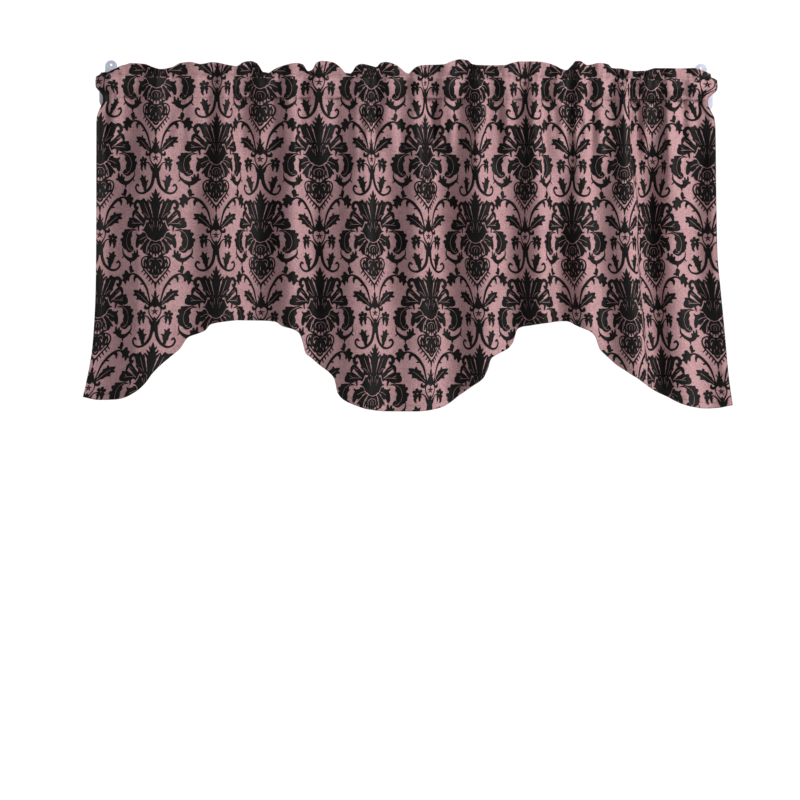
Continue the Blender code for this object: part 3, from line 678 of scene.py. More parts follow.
def ripples(along, height):
    """How far forward the small puckers, pleats and waves bring the front of the cloth."""
    below = np.maximum(LOWER_SEAM - height, 0)
    fade = ease(below / PLEAT_REACH)
    near_seam = np.sqrt(fade) * np.exp(-((below / PLEAT_REACH) ** 2))
    found = ripple(PLEATS, along, height) * PLEAT_GAIN * near_seam
    found = found + ripple(SLOW_WAVES, along, height) * ease((below - WAVES_FROM) / WAVES_GROW)
    for crease in CREASES:
        begins = ease((crease.top_mm * MM - height) / CREASE_FADES)
        ends = 1 - ease((crease.low_mm * MM - height) / CREASE_FADES)
        apart = (along - crease.along_mm * MM) / (crease.wide_mm * MM)
        found = found + crease.high_mm * MM * np.exp(-(apart**2)) * begins * ends
    at_rod, _ = hang(along, np.zeros(np.broadcast(along, height).shape))
    for notch in NOTCHES:
        apart = (at_rod - notch.along_mm * MM) / NOTCH_WIDE
        deep = (NOTCH_BELOW_MM - notch.height_mm) * NOTCH_PINCH
        found = found - deep * np.exp(-(apart**2)) * ease((height + NOTCH_REACH) / NOTCH_REACH)
    at_seams = np.exp(-(((height - LOWER_SEAM) / PUCKER_REACH) ** 2))
    at_seams = at_seams + HEADING_PUCKERS * np.exp(-(((height - UPPER_SEAM) / PUCKER_REACH) ** 2))
    return found + ripple(SEAM_PUCKERS, along, height) * at_seams


def heading_lines(along):
    """The upper seam's forward place and height, the heading's top, its lean and its ruffle."""
    phase, _, gather = phase_at(along)
    at_rod, _ = hang(along, np.zeros_like(along))
    ruffle = gather * np.cos(2 * phase)
    apex = SEAM_WAVE * ruffle
    apex_height = UPPER_SEAM + np.abs(apex)
    top = np.maximum(through(HEADING, at_rod), apex_height + HEADING_LEAST)
    lean = ease((np.abs(at_rod) - HEADING_LEAN_FROM) / (ROD_RETURN_X - HEADING_LEAN_FROM))
    return apex, apex_height, top, HEADING_WAVE * ruffle - HEADING_LEAN * lean


def clear_of_rod(height):
    """How far from the rod's line the cloth's outer face must stay at a height."""
    reach = ROD_THICK / 2 + GAP + CLOTH + ROD_CLEAR
    beyond_flat = np.maximum(np.abs(height) - (ROD_TALL - ROD_THICK) / 2, 0)
    return np.sqrt(np.maximum(reach**2 - beyond_flat**2, 0))


def layer(along, height, side):
    """Points on the cloth's outer face, on its front layer (side 1) or the turned-back one (side -1)."""
    along, height = np.broadcast_arrays(along, height)
    phase, _, gather = phase_at(along)
    wave = (1 + np.cos(2 * phase)) / 2
    apex, apex_height, top, ruffle = heading_lines(along)

    across, forward = hang(along, height)
    seam_across, seam_forward = hang(along, np.full_like(along, LOWER_SEAM))
    if side < 0:
        seam_forward = seam_forward - 2 * CLOTH
    stand_off = gather * wave if side > 0 else BACK_GATHER * gather * wave
    full = side * (ROD_THICK / 2 + GAP + SOLID_CLOTH + stand_off)

    open_low = through(POCKET, height) / MM / OPEN_FULLY
    low_across = seam_across + (across - seam_across) * open_low
    low_forward = seam_forward + (full - seam_forward) * open_low

    rise = np.clip((height - POCKET_TOP) / (apex_height - POCKET_TOP), 0, 1)
    seam_face = apex + side * CLOTH
    high_forward = seam_face + (full - seam_face) * (1 - 2 * rise**2 + rise**3)
    share = np.clip((height - apex_height) / (top - apex_height), 0, 1)
    high_forward = high_forward + share * ruffle

    in_skirt = height <= LOWER_SEAM
    in_low = height <= POCKET_TOP
    forward = np.where(in_skirt, forward, np.where(in_low, low_forward, high_forward))
    across = np.where(in_skirt, across, np.where(in_low, low_across, across))
    forward = forward + ripples(along, height) * (1 if side > 0 else BACK_RIPPLES)
    off_rod = np.maximum(side * forward, clear_of_rod(height)) * side
    forward = np.where(in_skirt, forward, off_rod)
    straighter = np.clip(1 - (LOWER_SEAM - height) / SEAM_BEND_FADES, 0, 1) * SEAM_BEND
    bend = np.where(in_skirt, straighter, SEAM_BEND + (1 - SEAM_BEND) * open_low)
    bend = np.where(in_low, bend, 1.0)
    return round_corner(across, forward, height, bend)


def face_normal(along, height, side, step=1.0 * MM):
    """The outward unit normal of that face of the cloth."""
    here = np.clip(along, step, FLAT_WIDTH - step)
    run = layer(here + step, height, side) - layer(here - step, height, side)
    rise = layer(here, height + step, side) - layer(here, height - step, side)
    normal = np.cross(run, rise) * side
    return normal / np.linalg.norm(normal, axis=-1, keepdims=True)


def pushed(along, height, side, lift):
    """Points that far off that face, outwards if lift is positive."""
    lift = np.asarray(lift)[..., None] if np.ndim(lift) else lift
    return layer(along, height, side) + face_normal(along, height, side) * lift


def column_places():
    """Places along the flat cloth where the mesh has a column; the print's own columns are among them."""
    step = HALF_PITCH / COLUMNS_A_PITCH
    first = FIRST_COLUMN % step
    inner = np.arange(first, FLAT_WIDTH / MM - NARROWEST_COLUMN, step)
    return np.concatenate([[0], inner[inner > NARROWEST_COLUMN], [FLAT_WIDTH / MM]]) * MM


def cloth_rings():
    """The outer and inner rings of points, each [row][column], and each row's place down the flat cloth."""
    along = column_places()
    drop = -through(HEM_CUT, along)
    _, apex_height, top, _ = heading_lines(along)
    hem_share = 1 - HEM_DEEP / (LOWER_SEAM - drop)
    side_hem = np.minimum(along, FLAT_WIDTH - along) < SIDE_HEM

    shares = [(k / SKIRT_STEPS) ** SKIRT_CLOSER * hem_share for k in range(1, SKIRT_STEPS + 1)]
    shares += [hem_share + (1 - hem_share) * k / HEM_STEPS for k in range(1, HEM_STEPS + 1)]
    skirt = [LOWER_SEAM + (drop - LOWER_SEAM) * share for share in shares]
    hemmed = [np.full_like(along, k >= SKIRT_STEPS, dtype=bool) | side_hem for k in range(len(shares))]

    lower = np.full_like(along, LOWER_SEAM)
    pocket = [lower + (POCKET_TOP - lower) * k / POCKET_STEPS for k in range(1, POCKET_STEPS + 1)]
    shoulder = apex_height - POCKET_TOP
    pocket += [POCKET_TOP + shoulder * k / SHOULDER_STEPS for k in range(1, SHOULDER_STEPS)]
    heading = [apex_height + (top - apex_height) * k / HEADING_STEPS for k in range(HEADING_STEPS + 1)]

    outer, flat = [], []

    def add(points, height, turned=False):
        outer.append(points)
        flat.append(2 * top - height if turned else height)

    for height in skirt[::-1]:
        add(layer(along, height, 1), height)
    add(layer(along, lower, 1), lower)
    for height in pocket + heading:
        add(layer(along, height, 1), height)
    crown = (layer(along, top, 1) + layer(along, top, -1)) / 2 + np.array([0, 0, TURN_RISE])
    add(crown, top)
    for height in heading[::-1] + pocket[::-1]:
        add(layer(along, height, -1), height, True)
    add(layer(along, lower, -1), lower, True)
    wrong_side_from = len(outer)
    for height, thick in zip(skirt, hemmed):
        add(pushed(along, height, 1, -CLOTH - HEM_EXTRA * thick), height)

    inner = [pushed(along, lower, 1, -CLOTH)]
    inner += [pushed(along, height, 1, -CLOTH) for height in pocket]
    inner.append((layer(along, apex_height, 1) + layer(along, apex_height, -1)) / 2)
    inner += [pushed(along, height, -1, -CLOTH) for height in pocket[::-1]]
    return along, np.array(outer), np.array(flat), np.array(inner), wrong_side_from


def end_caps(outer_rows, inner_rows):
    """The faces that close one end of the cloth, each a list of ("outer" or "inner", row)."""
    skirt = SKIRT_STEPS + HEM_STEPS
    pocket = POCKET_STEPS + SHOULDER_STEPS - 1
    low = skirt + 1 + pocket
    seam_back = outer_rows - 1 - skirt
    low_back = seam_back - 1 - pocket

    def outer(*rows):
        return [("outer", row) for row in rows]

    def inner(*rows):
        return [("inner", row % inner_rows) for row in rows]

    faces = []
    for k in range(skirt - 1):
        faces.append(outer(k, k + 1, outer_rows - 2 - k, outer_rows - 1 - k))
    faces.append(outer(skirt - 1, skirt) + inner(0) + outer(seam_back, seam_back + 1))
    for k in range(pocket + 1):
        faces.append(outer(skirt + k, skirt + k + 1) + inner(k + 1, k))
        faces.append(outer(seam_back - k - 1, seam_back - k) + inner(-k, -k - 1))
    faces.append(outer(low, low + 1, low_back - 1, low_back) + inner(pocket + 1))
    for k in range(1, HEADING_STEPS):
        faces.append(outer(low + k, low + k + 1, low_back - k - 1, low_back - k))
    faces.append(outer(low + HEADING_STEPS, low + HEADING_STEPS + 1, low_back - HEADING_STEPS))
    return faces


def mesh_piece(name, points, faces, materials, flat=None, face_material=None):
    """A smooth-shaded piece that rides on the one body, with flat cloth coordinates if they are given."""
    mesh = bpy.data.meshes.new(name)
    mesh.from_pydata(np.asarray(points).tolist(), [], faces)
    if flat is not None:
        held = mesh.attributes.new("flat", "FLOAT_VECTOR", "POINT")
        held.data.foreach_set("vector", np.ascontiguousarray(flat, dtype=np.float32).ravel())
    for material in materials:
        mesh.materials.append(material)
    if face_material is not None:
        mesh.polygons.foreach_set("material_index", np.asarray(face_material, dtype=np.int32))
    mesh.shade_smooth()
    mesh.update()
    thing = bpy.data.objects.new(name, mesh)
    bpy.context.scene.collection.objects.link(thing)
    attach(thing, "root")
    return thing


def make_valance(right_side, wrong_side):
    """The whole valance as one closed mesh with a tunnel for the rod."""
    along, outer, flat_down, inner, wrong_from = cloth_rings()
    outer_rows, count = outer.shape[:2]
    inner_rows = inner.shape[0]
    points = np.concatenate([outer.reshape(-1, 3), inner.reshape(-1, 3)])
    down = np.concatenate([flat_down.ravel(), inner[:, :, 2].ravel()])
    places = np.tile(along, outer_rows + inner_rows)
    flat = np.stack([places, down, np.zeros_like(places)], axis=-1)

    faces, kinds = [], []
    for ring, rows, start in (("outer", outer_rows, 0), ("inner", inner_rows, outer_rows * count)):
        for row in range(rows):
            here = start + row * count
            there = start + (row + 1) % rows * count
            wrong = int(ring == "inner" or row >= wrong_from - 1)
            for column in range(count - 1):
                quad = (here + column, here + column + 1, there + column + 1, there + column)
                faces.append(quad if ring == "outer" else quad[::-1])
                kinds.append(wrong)
    for column in (0, count - 1):
        for face in end_caps(outer_rows, inner_rows):
            corners = [(row if ring == "outer" else outer_rows + row) * count + column for ring, row in face]
            faces.append(corners[::-1] if column == 0 else corners)
            kinds.append(0)
    return mesh_piece("valance", points, faces, (right_side, wrong_side), flat, kinds)


def stroke_line(points, steps):
    """A smooth line through (across, down, half width) rows."""
    rows = np.array(points, dtype=float) * (1, DROP / DRAWN_DROP, 1)
    share = np.linspace(0, 1, steps, endpoint=False)[:, None]
    if len(rows) == 2:
        return rows[0] + (rows[1] - rows[0]) * np.linspace(0, 1, steps)[:, None]
    rows = np.vstack([2 * rows[0] - rows[1], rows, 2 * rows[-1] - rows[-2]])
    pieces = []
    for k in range(1, len(rows) - 2):
        a, b, c, d = rows[k - 1 : k + 3]
        bent = (2 * a - 5 * b + 4 * c - d) * share**2 + (3 * b - a - 3 * c + d) * share**3
        pieces.append((2 * b + (c - a) * share + bent) / 2)
    return np.vstack(pieces + [rows[-2:-1]])


def stroke_shape(part):
    """The stroke's line with its half widths, toothed like a leaf's edge where it has teeth."""
    line = stroke_line(part.points, LEAF_STEPS if part.teeth else STROKE_STEPS)
    line[:, 2] = np.maximum(line[:, 2], LEAST_HALF_WIDTH)
    if part.teeth:
        share = np.linspace(0, 1, len(line))
        lobes = np.abs(np.sin(math.pi * share * part.teeth)) - TOOTH_MIDDLE
        line[:, 2] *= 1 + TOOTH_DEPTH * lobes * np.sin(math.pi * share)
    return line


def vein_line(part):
    """The thin line of ground that runs up the middle of a leaf."""
    line = stroke_line(part.points, STROKE_STEPS)
    line = line[int(len(line) * VEIN_FROM) : int(len(line) * VEIN_TO)].copy()
    line[:, 2] = VEIN_HALF_WIDTH
    return line


def beyond(line, across, down):
    """Distance from points to the edge of a stroke, negative inside it."""
    best = np.full(across.shape, 1000.0)
    for start, end in zip(line[:-1], line[1:]):
        run = end - start
        size = max(run[0] ** 2 + run[1] ** 2, 1e-9)
        share = np.clip(((across - start[0]) * run[0] + (down - start[1]) * run[1]) / size, 0, 1)
        gap = np.hypot(across - start[0] - run[0] * share, down - start[1] - run[1] * share)
        np.minimum(best, gap - start[2] - run[2] * share, out=best)
    return best


def draw(field, across, down, line, printed):
    """Adds a stroke, and each of its repeats that reaches the cell, to the field or takes it out."""
    reach = line[:, 2].max() + STROKE_MARGIN
    for mirror in (1, -1):
        for column in (0, 1):
            for lower in (-DROP, 0, DROP):
                copy = line.copy()
                copy[:, 0] = copy[:, 0] * mirror
                copy[:, 1] = copy[:, 1] + lower + column * DROP / 2
                if column:
                    copy[:, 0] = HALF_PITCH - copy[:, 0]
                left, right = np.searchsorted(across, (copy[:, 0].min() - reach, copy[:, 0].max() + reach))
                upper, low = np.searchsorted(down, (copy[:, 1].min() - reach, copy[:, 1].max() + reach))
                if right <= left or low <= upper:
                    continue
                gap = beyond(copy, *np.meshgrid(across[left:right], down[upper:low]))
                gap = gap - SWELL if printed else gap
                part = field[upper:low, left:right]
                if printed:
                    np.minimum(part, gap, out=part)
                else:
                    np.maximum(part, -gap, out=part)


def print_field():
    """The print over one cell, from a motif's middle line to its neighbour's, negative where black."""
    across = np.linspace(0, HALF_PITCH, round(HALF_PITCH / FIELD_STEP) + 1)
    down = np.linspace(0, DROP, round(DROP / FIELD_STEP) + 1)
    field = np.full((len(down), len(across)), CLEAR_GROUND)
    for part in MOTIF:
        draw(field, across, down, stroke_shape(part), True)
    for part in MOTIF:
        if part.vein:
            draw(field, across, down, vein_line(part), False)
    for points in SLITS:
        draw(field, across, down, stroke_line(points, STROKE_STEPS), False)
    return across, down, field


def field_at(cell, across, down):
    """The field read between its points."""
    xs, ys, field = cell
    x = np.clip(across / xs[1], 0, len(xs) - LAST_INSIDE)
    y = np.clip(down / ys[1], 0, len(ys) - LAST_INSIDE)
    left, low = x.astype(int), y.astype(int)
    s, t = x - left, y - low
    near = field[low, left] * (1 - s) + field[low, left + 1] * s
    far = field[low + 1, left] * (1 - s) + field[low + 1, left + 1] * s
    return near * (1 - t) + far * t


def outline_loops(cell):
    """The print's outline in the cell, as lines of (across, down) points."""
    xs, ys, field = cell
    crossings = {}
    links = {}

    def crossing(a, b):
        key = (a, b) if a < b else (b, a)
        if key not in crossings:
            (r0, c0), (r1, c1) = key
            share = field[r0, c0] / (field[r0, c0] - field[r1, c1])
            crossings[key] = (xs[c0] + (xs[c1] - xs[c0]) * share, ys[r0] + (ys[r1] - ys[r0]) * share)
        return key

    inside = field < 0
    corner = inside[:-1, :-1]
    mixed = (corner ^ inside[1:, :-1]) | (corner ^ inside[:-1, 1:]) | (corner ^ inside[1:, 1:])
    for r, c in np.argwhere(mixed).tolist():
        ring = ((r, c), (r, c + 1), (r + 1, c + 1), (r + 1, c))
        sides = zip(ring, ring[1:] + ring[:1])
        cuts = [crossing(start, end) for start, end in sides if inside[start] != inside[end]]
        for k in range(0, len(cuts) - 1, 2):
            links.setdefault(cuts[k], []).append(cuts[k + 1])
            links.setdefault(cuts[k + 1], []).append(cuts[k])
    loops = []
    ends = [key for key, near in links.items() if len(near) == 1]
    for start in ends + list(links):
        if not links.get(start):
            continue
        loop = [start]
        here = start
        while links.get(here):
            after = links[here].pop()
            links[after].remove(here)
            loop.append(after)
            here = after
        loops.append(np.array([crossings[key] for key in loop]))
    return loops


def thinned(line, slack):
    """The line with the points left out that lie within slack of a straight run."""
    keep = np.zeros(len(line), dtype=bool)
    keep[[0, -1]] = True
    spans = [(0, len(line) - 1)]
    if np.allclose(line[0], line[-1]) and len(line) > 8:
        middle = len(line) // 2
        keep[middle] = True
        spans = [(0, middle), (middle, len(line) - 1)]
    while spans:
        first, last = spans.pop()
        if last - first < 2:
            continue
        run = line[last] - line[first]
        size = max(np.hypot(*run), 1e-9)
        away = line[first + 1 : last] - line[first]
        gap = np.abs(away[:, 0] * run[1] - away[:, 1] * run[0]) / size
        worst = int(gap.argmax())
        if gap[worst] > slack:
            middle = first + 1 + worst
            keep[middle] = True
            spans += [(first, middle), (middle, last)]
    return line[keep]


def split_long(points, triangles, longest):
    """The triangles with every edge over the longest length cut at its middle, on both sides of the edge."""
    while True:
        ends = np.sort(triangles[:, [[0, 1], [1, 2], [2, 0]]], axis=2).reshape(-1, 2)
        edges, which = np.unique(ends, axis=0, return_inverse=True)
        too_long = np.hypot(*(points[edges[:, 0]] - points[edges[:, 1]]).T) > longest
        if not too_long.any():
            return points, triangles
        cut = np.where(too_long, len(points) + np.cumsum(too_long) - 1, -1)[which].reshape(-1, 3)
        points = np.concatenate([points, points[edges[too_long]].mean(axis=1)])
        made = []
        for corners, middles in zip(triangles.tolist(), cut.tolist()):
            cuts = sum(middle >= 0 for middle in middles)
            while cuts in (1, 2) and (middles[0] < 0 or (cuts == 2 and middles[1] < 0)):
                corners = corners[1:] + corners[:1]
                middles = middles[1:] + middles[:1]
            a, b, c = corners
            ab, bc, ca = middles
            if cuts == 0:
                made.append((a, b, c))
            elif cuts == 1:
                made += [(a, ab, c), (ab, b, c)]
            elif cuts == 2:
                made += [(ab, b, bc), (a, ab, bc), (a, bc, c)]
            else:
                made += [(a, ab, ca), (ab, b, bc), (ca, bc, c), (ab, bc, ca)]
        triangles = np.array(made)


def cell_triangles():
    """The print in one cell, as (across, down) points and triangles."""
    cell = print_field()
    points, edges = [], []
    for loop in outline_loops(cell):
        line = thinned(loop, EDGE_SLACK)
        closed = np.allclose(line[0], line[-1])
        body = line[:-1] if closed else line
        if len(body) < 2 or (closed and len(body) < 3):
            continue
        first = len(points)
        points += [tuple(point) for point in body]
        edges += [(first + k, first + k + 1) for k in range(len(body) - 1)]
        if closed:
            edges.append((first + len(body) - 1, first))
    grid_across = np.linspace(0, HALF_PITCH, COLUMNS_A_PITCH + 1)
    grid_down = np.linspace(0, DROP, ROWS_A_DROP + 1)
    x, y = np.meshgrid(grid_across, grid_down)
    deep = field_at(cell, x, y) < DEEP_BLACK
    points += list(zip(x[deep].tolist(), y[deep].tolist()))
    for corner_x in (0, HALF_PITCH):
        points += [(corner_x, value) for value in (0, DROP)]
    found = geometry.delaunay_2d_cdt([Vector(point) for point in points], edges, [], 0, SAME_POINT)
    made = np.array([tuple(point) for point in found[0]])
    triangles = np.array(found[2])
    middle = made[triangles].mean(axis=1)
    black = field_at(cell, middle[:, 0], middle[:, 1]) < 0
    triangles = triangles[black]
    a, b, c = (made[triangles[:, k]] for k in range(3))
    area = (b[:, 0] - a[:, 0]) * (c[:, 1] - a[:, 1]) - (b[:, 1] - a[:, 1]) * (c[:, 0] - a[:, 0])
    triangles = triangles[np.abs(area) > FLAT_SLIVER]
    return split_long(made, triangles, LONGEST_EDGE)


def lattice(low_height, high_height):
    """The cells that cover the flat cloth between two heights: left edge and top in mm, mirrored or not."""
    cells = []
    for column in range(-1, math.ceil(FLAT_WIDTH / MM / HALF_PITCH) + 1):
        left = FIRST_COLUMN + column * HALF_PITCH
        mirrored = column % 2 == 1
        for lap in LAPS:
            top = FIRST_TIP - lap * DROP
            if top > low_height / MM and top - DROP < high_height / MM:
                cells.append((left, top, mirrored))
    return cells


def moved(along):
    """A place along the flat cloth in mm, with the print's columns moved to where the folds show them."""
    even = FIRST_COLUMN + HALF_PITCH * np.arange(len(COLUMN_MOVES))
    return along + np.interp(along, even, COLUMN_MOVES)


def tiled(cell, low_height, high_height, keep):
    """The print repeated over the cloth: flat places, heights, triangles. keep says what lies on it."""
    made, triangles = cell
    along, height, faces = [], [], []
    start = 0
    for left, top, mirrored in lattice(low_height, high_height):
        across = HALF_PITCH - made[:, 0] if mirrored else made[:, 0]
        u = moved(left + across) * MM
        z = (top - made[:, 1]) * MM
        on = keep(u, z)
        used = triangles[on[triangles].any(axis=1)]
        if not len(used):
            continue
        wanted, order = np.unique(used, return_inverse=True)
        order = order.reshape(used.shape)
        along.append(u[wanted])
        height.append(z[wanted])
        faces.append((order[:, ::-1] if not mirrored else order) + start)
        start += len(wanted)
    return np.concatenate(along), np.concatenate(height), np.concatenate(faces)


def front_print(cell, name, left, right, material):
    """The print on the front, between two places along the cloth, cut at the hem, the sides and the top."""

    def keep(u, z):
        inside = (u > left) & (u < right)
        _, _, top, _ = heading_lines(np.clip(u, 0, FLAT_WIDTH))
        return inside & (z > -through(HEM_CUT, u)) & (z < top)

    u, z, faces = tiled(cell, *FRONT_SPAN, keep)
    u = np.clip(u, left, right)
    _, _, top, _ = heading_lines(u)
    z = np.clip(z, -through(HEM_CUT, u) + HEM_MARGIN, top)
    return wrapped(name, u, z, z, faces, 1, material)


def turned_print(cell, name, material):
    """The print on the layer that is turned to the back, where it hangs upside down."""

    def keep(u, flat):
        _, _, top, _ = heading_lines(np.clip(u, 0, FLAT_WIDTH))
        z = 2 * top - flat
        return (u > 0) & (u < FLAT_WIDTH) & (z > LOWER_SEAM) & (z < top)

    u, flat, faces = tiled(cell, *TURNED_SPAN, keep)
    u = np.clip(u, 0, FLAT_WIDTH)
    _, _, top, _ = heading_lines(u)
    z = np.clip(2 * top - flat, LOWER_SEAM + SEAM_MARGIN, top)
    return wrapped(name, u, z, flat, faces, -1, material)


def wrapped(name, u, z, flat_down, faces, side, material):
    """A printed piece laid on one face of the cloth."""
    points = pushed(u, z, side, PRINT_LIFT)
    a, b, c = (points[faces[:, k]] for k in range(3))
    area = np.linalg.norm(np.cross(b - a, c - a), axis=1)
    faces = faces[area > HUNG_SLIVER]
    flat = np.stack([u, flat_down, np.zeros_like(u)], axis=-1)
    return mesh_piece(name, points, faces.tolist(), (material,), flat)


class Look:
    """A material's node tree, with the few kinds of node that the finishes here are made of."""

    def __init__(self, name, base, roughness, specular=0.5, sheen=None):
        self.material = bpy.data.materials.new(name)
        self.material.use_nodes = True
        self.tree = self.material.node_tree
        self.shader = self.tree.nodes["Principled BSDF"]
        self.shader.inputs["Base Color"].default_value = (*base, 1)
        self.shader.inputs["Roughness"].default_value = roughness
        self.shader.inputs["Specular IOR Level"].default_value = specular
        if sheen:
            self.shader.inputs["Sheen Weight"].default_value = sheen[0]
            self.shader.inputs["Sheen Roughness"].default_value = sheen[1]
            self.shader.inputs["Sheen Tint"].default_value = (*sheen[2], 1)
        self.bumps = None

    def node(self, kind, **values):
        """A new node of a kind, with some of its settings."""
        made = self.tree.nodes.new(kind)
        for name, value in values.items():
            setattr(made, name, value)
        return made

    def feed(self, socket, value):
        """Gives a socket a value: another node's output, or a number or colour."""
        if hasattr(value, "links"):
            self.tree.links.new(value, socket)
        else:
            socket.default_value = value

    def flat_cloth(self, across=1.0, down=1.0):
        """Coordinates that run along the flat cloth, so weave and print follow its folds."""
        held = self.node("ShaderNodeAttribute", attribute_name="flat", attribute_type="GEOMETRY")
        scaled = self.node("ShaderNodeMapping")
        scaled.inputs["Scale"].default_value = (across, down, 1)
        self.feed(scaled.inputs["Vector"], held.outputs["Vector"])
        return scaled.outputs["Vector"]

    def object_place(self):
        """Coordinates in metres, for the pieces that aren't cloth."""
        return self.node("ShaderNodeTexCoord").outputs["Object"]

    def noise(self, vector, per_metre, detail, roughness):
        """Soft noise with that many grains to a metre."""
        made = self.node("ShaderNodeTexNoise")
        self.feed(made.inputs["Vector"], vector)
        self.feed(made.inputs["Scale"], per_metre)
        self.feed(made.inputs["Detail"], detail)
        self.feed(made.inputs["Roughness"], roughness)
        return made.outputs["Fac"]

    def threads(self, vector, pitch, direction):
        """Parallel threads; the wave texture has 20 / (2 pi) of them to a metre at scale 1."""
        made = self.node("ShaderNodeTexWave", bands_direction=direction)
        self.feed(made.inputs["Vector"], vector)
        self.feed(made.inputs["Scale"], 2 * math.pi / 20 / pitch)
        self.feed(made.inputs["Distortion"], 0.6)
        self.feed(made.inputs["Detail Scale"], 2.0)
        return made.outputs["Fac"]

    def sum(self, *weighted):
        """The weighted sum of some (value, weight) pairs."""
        total = None
        for value, weight in weighted:
            made = self.node("ShaderNodeMath", operation="MULTIPLY_ADD")
            self.feed(made.inputs[0], value)
            self.feed(made.inputs[1], weight)
            self.feed(made.inputs[2], total if total is not None else 0.0)
            total = made.outputs["Value"]
        return total

    def spread(self, value, low, high, to_low=0.0, to_high=1.0):
        """A value's range from low to high, stretched to another range and cut off at its ends."""
        made = self.node("ShaderNodeMapRange")
        self.feed(made.inputs["Value"], value)
        for name, number in (("From Min", low), ("From Max", high), ("To Min", to_low), ("To Max", to_high)):
            self.feed(made.inputs[name], number)
        return made.outputs["Result"]

    def between(self, share, dark, light):
        """A colour between two, by a share."""
        made = self.node("ShaderNodeMix", data_type="RGBA")
        self.feed(made.inputs["Factor"], share)
        self.feed(made.inputs["A"], (*dark, 1))
        self.feed(made.inputs["B"], (*light, 1))
        return made.outputs["Result"]

    def bump(self, height, strength, distance):
        """Adds fine relief, on top of what was added before."""
        made = self.node("ShaderNodeBump")
        self.feed(made.inputs["Strength"], strength)
        self.feed(made.inputs["Distance"], distance)
        self.feed(made.inputs["Height"], height)
        if self.bumps is not None:
            self.feed(made.inputs["Normal"], self.bumps)
        self.bumps = made.outputs["Normal"]
        self.feed(self.shader.inputs["Normal"], self.bumps)

    def color(self, value):
        """Sets the colour all over."""
        self.feed(self.shader.inputs["Base Color"], value)

    def roughness(self, value):
        """Sets the roughness all over."""
        self.feed(self.shader.inputs["Roughness"], value)


def woven(name, dark, light, sheen):
    """The woven ground: two sets of threads, uneven yarn, and slow changes in the dye."""
    look = Look(name, light, 0.78, 0.25, sheen)
    even = look.flat_cloth()
    weft_streaks = look.noise(look.flat_cloth(70, 1100), 1.0, 2.0, 0.6)
    warp_streaks = look.noise(look.flat_cloth(1100, 50), 1.0, 2.0, 0.6)
    grain = look.noise(even, 620, 2.0, 0.7)
    speckle = look.noise(even, 330, 1.0, 0.6)
    clouds = look.noise(even, 28, 3.0, 0.6)
    shade = look.sum((weft_streaks, 0.26), (warp_streaks, 0.3), (grain, 0.3), (speckle, 0.42), (clouds, 0.22))
    look.color(look.between(look.spread(shade, 0.6, 0.9), dark, light))
    warp = look.threads(even, THREAD_PITCH, "X")
    weft = look.threads(even, THREAD_PITCH * 1.2, "Y")
    look.bump(look.sum((warp, 0.5), (weft, 0.5), (grain, 0.8)), 0.55, 0.12 * MM)
    look.bump(look.sum((clouds, 1.0), (speckle, 0.4)), 0.35, 0.6 * MM)
    look.roughness(look.spread(grain, 0.3, 0.7, 0.7, 0.86))
    return look.material


def printed(name):
    """The raised black print: short pile with a cool sheen, a little worn on its high threads."""
    look = Look(name, PRINT_DARK, 0.5, 0.08, PRINT_SHEEN)
    even = look.flat_cloth()
    pile = look.noise(even, 900, 2.0, 0.7)
    brushed = look.noise(look.flat_cloth(260, 90), 1.0, 3.0, 0.6)
    patches = look.noise(even, 45, 2.0, 0.6)
    shade = look.sum((pile, 0.4), (brushed, 0.5), (patches, 0.3))
    look.color(look.between(look.spread(shade, 0.4, 0.85), PRINT_DARK, PRINT_LIGHT))
    look.bump(look.sum((pile, 1.0), (brushed, 0.5)), 0.6, 0.25 * MM)
    warp = look.threads(even, THREAD_PITCH, "X")
    look.bump(warp, 0.25, 0.1 * MM)
    look.roughness(look.spread(brushed, 0.3, 0.7, 0.42, 0.6))
    return look.material


def thread(name):
    """Sewing thread a little darker than the ground, with its twist."""
    look = Look(name, THREAD_MEAN, 0.7, 0.2, THREAD_SHEEN)
    place = look.object_place()
    twist = look.noise(place, 2600, 1.0, 0.5)
    look.color(look.between(look.spread(twist, 0.3, 0.7), THREAD_DARK, THREAD_LIGHT))
    look.bump(twist, 0.6, 0.15 * MM)
    return look.material


def enamel(name):
    """White stove enamel on pressed steel: a faint orange peel, and dull dust on some of it."""
    look = Look(name, ENAMEL_MEAN, 0.32, 0.5)
    place = look.object_place()
    peel = look.noise(place, 520, 2.0, 0.5)
    dust = look.noise(place, 60, 4.0, 0.65)
    scuffs = look.noise(place, 210, 4.0, 0.8)
    worn = look.sum((dust, 0.7), (scuffs, 0.3))
    look.color(look.between(look.spread(worn, 0.42, 0.62), ENAMEL_DARK, ENAMEL_LIGHT))
    look.roughness(look.spread(worn, 0.4, 0.62, 0.5, 0.28))
    look.bump(peel, 0.25, 0.12 * MM)
    return look.material


def painted_floor(name):
    """Pale matt paint that varies very little."""
    look = Look(name, FLOOR_MEAN, 0.7, 0.2)
    place = look.object_place()
    look.color(look.between(look.noise(place, 3, 3.0, 0.5), FLOOR_DARK, FLOOR_LIGHT))
    return look.material


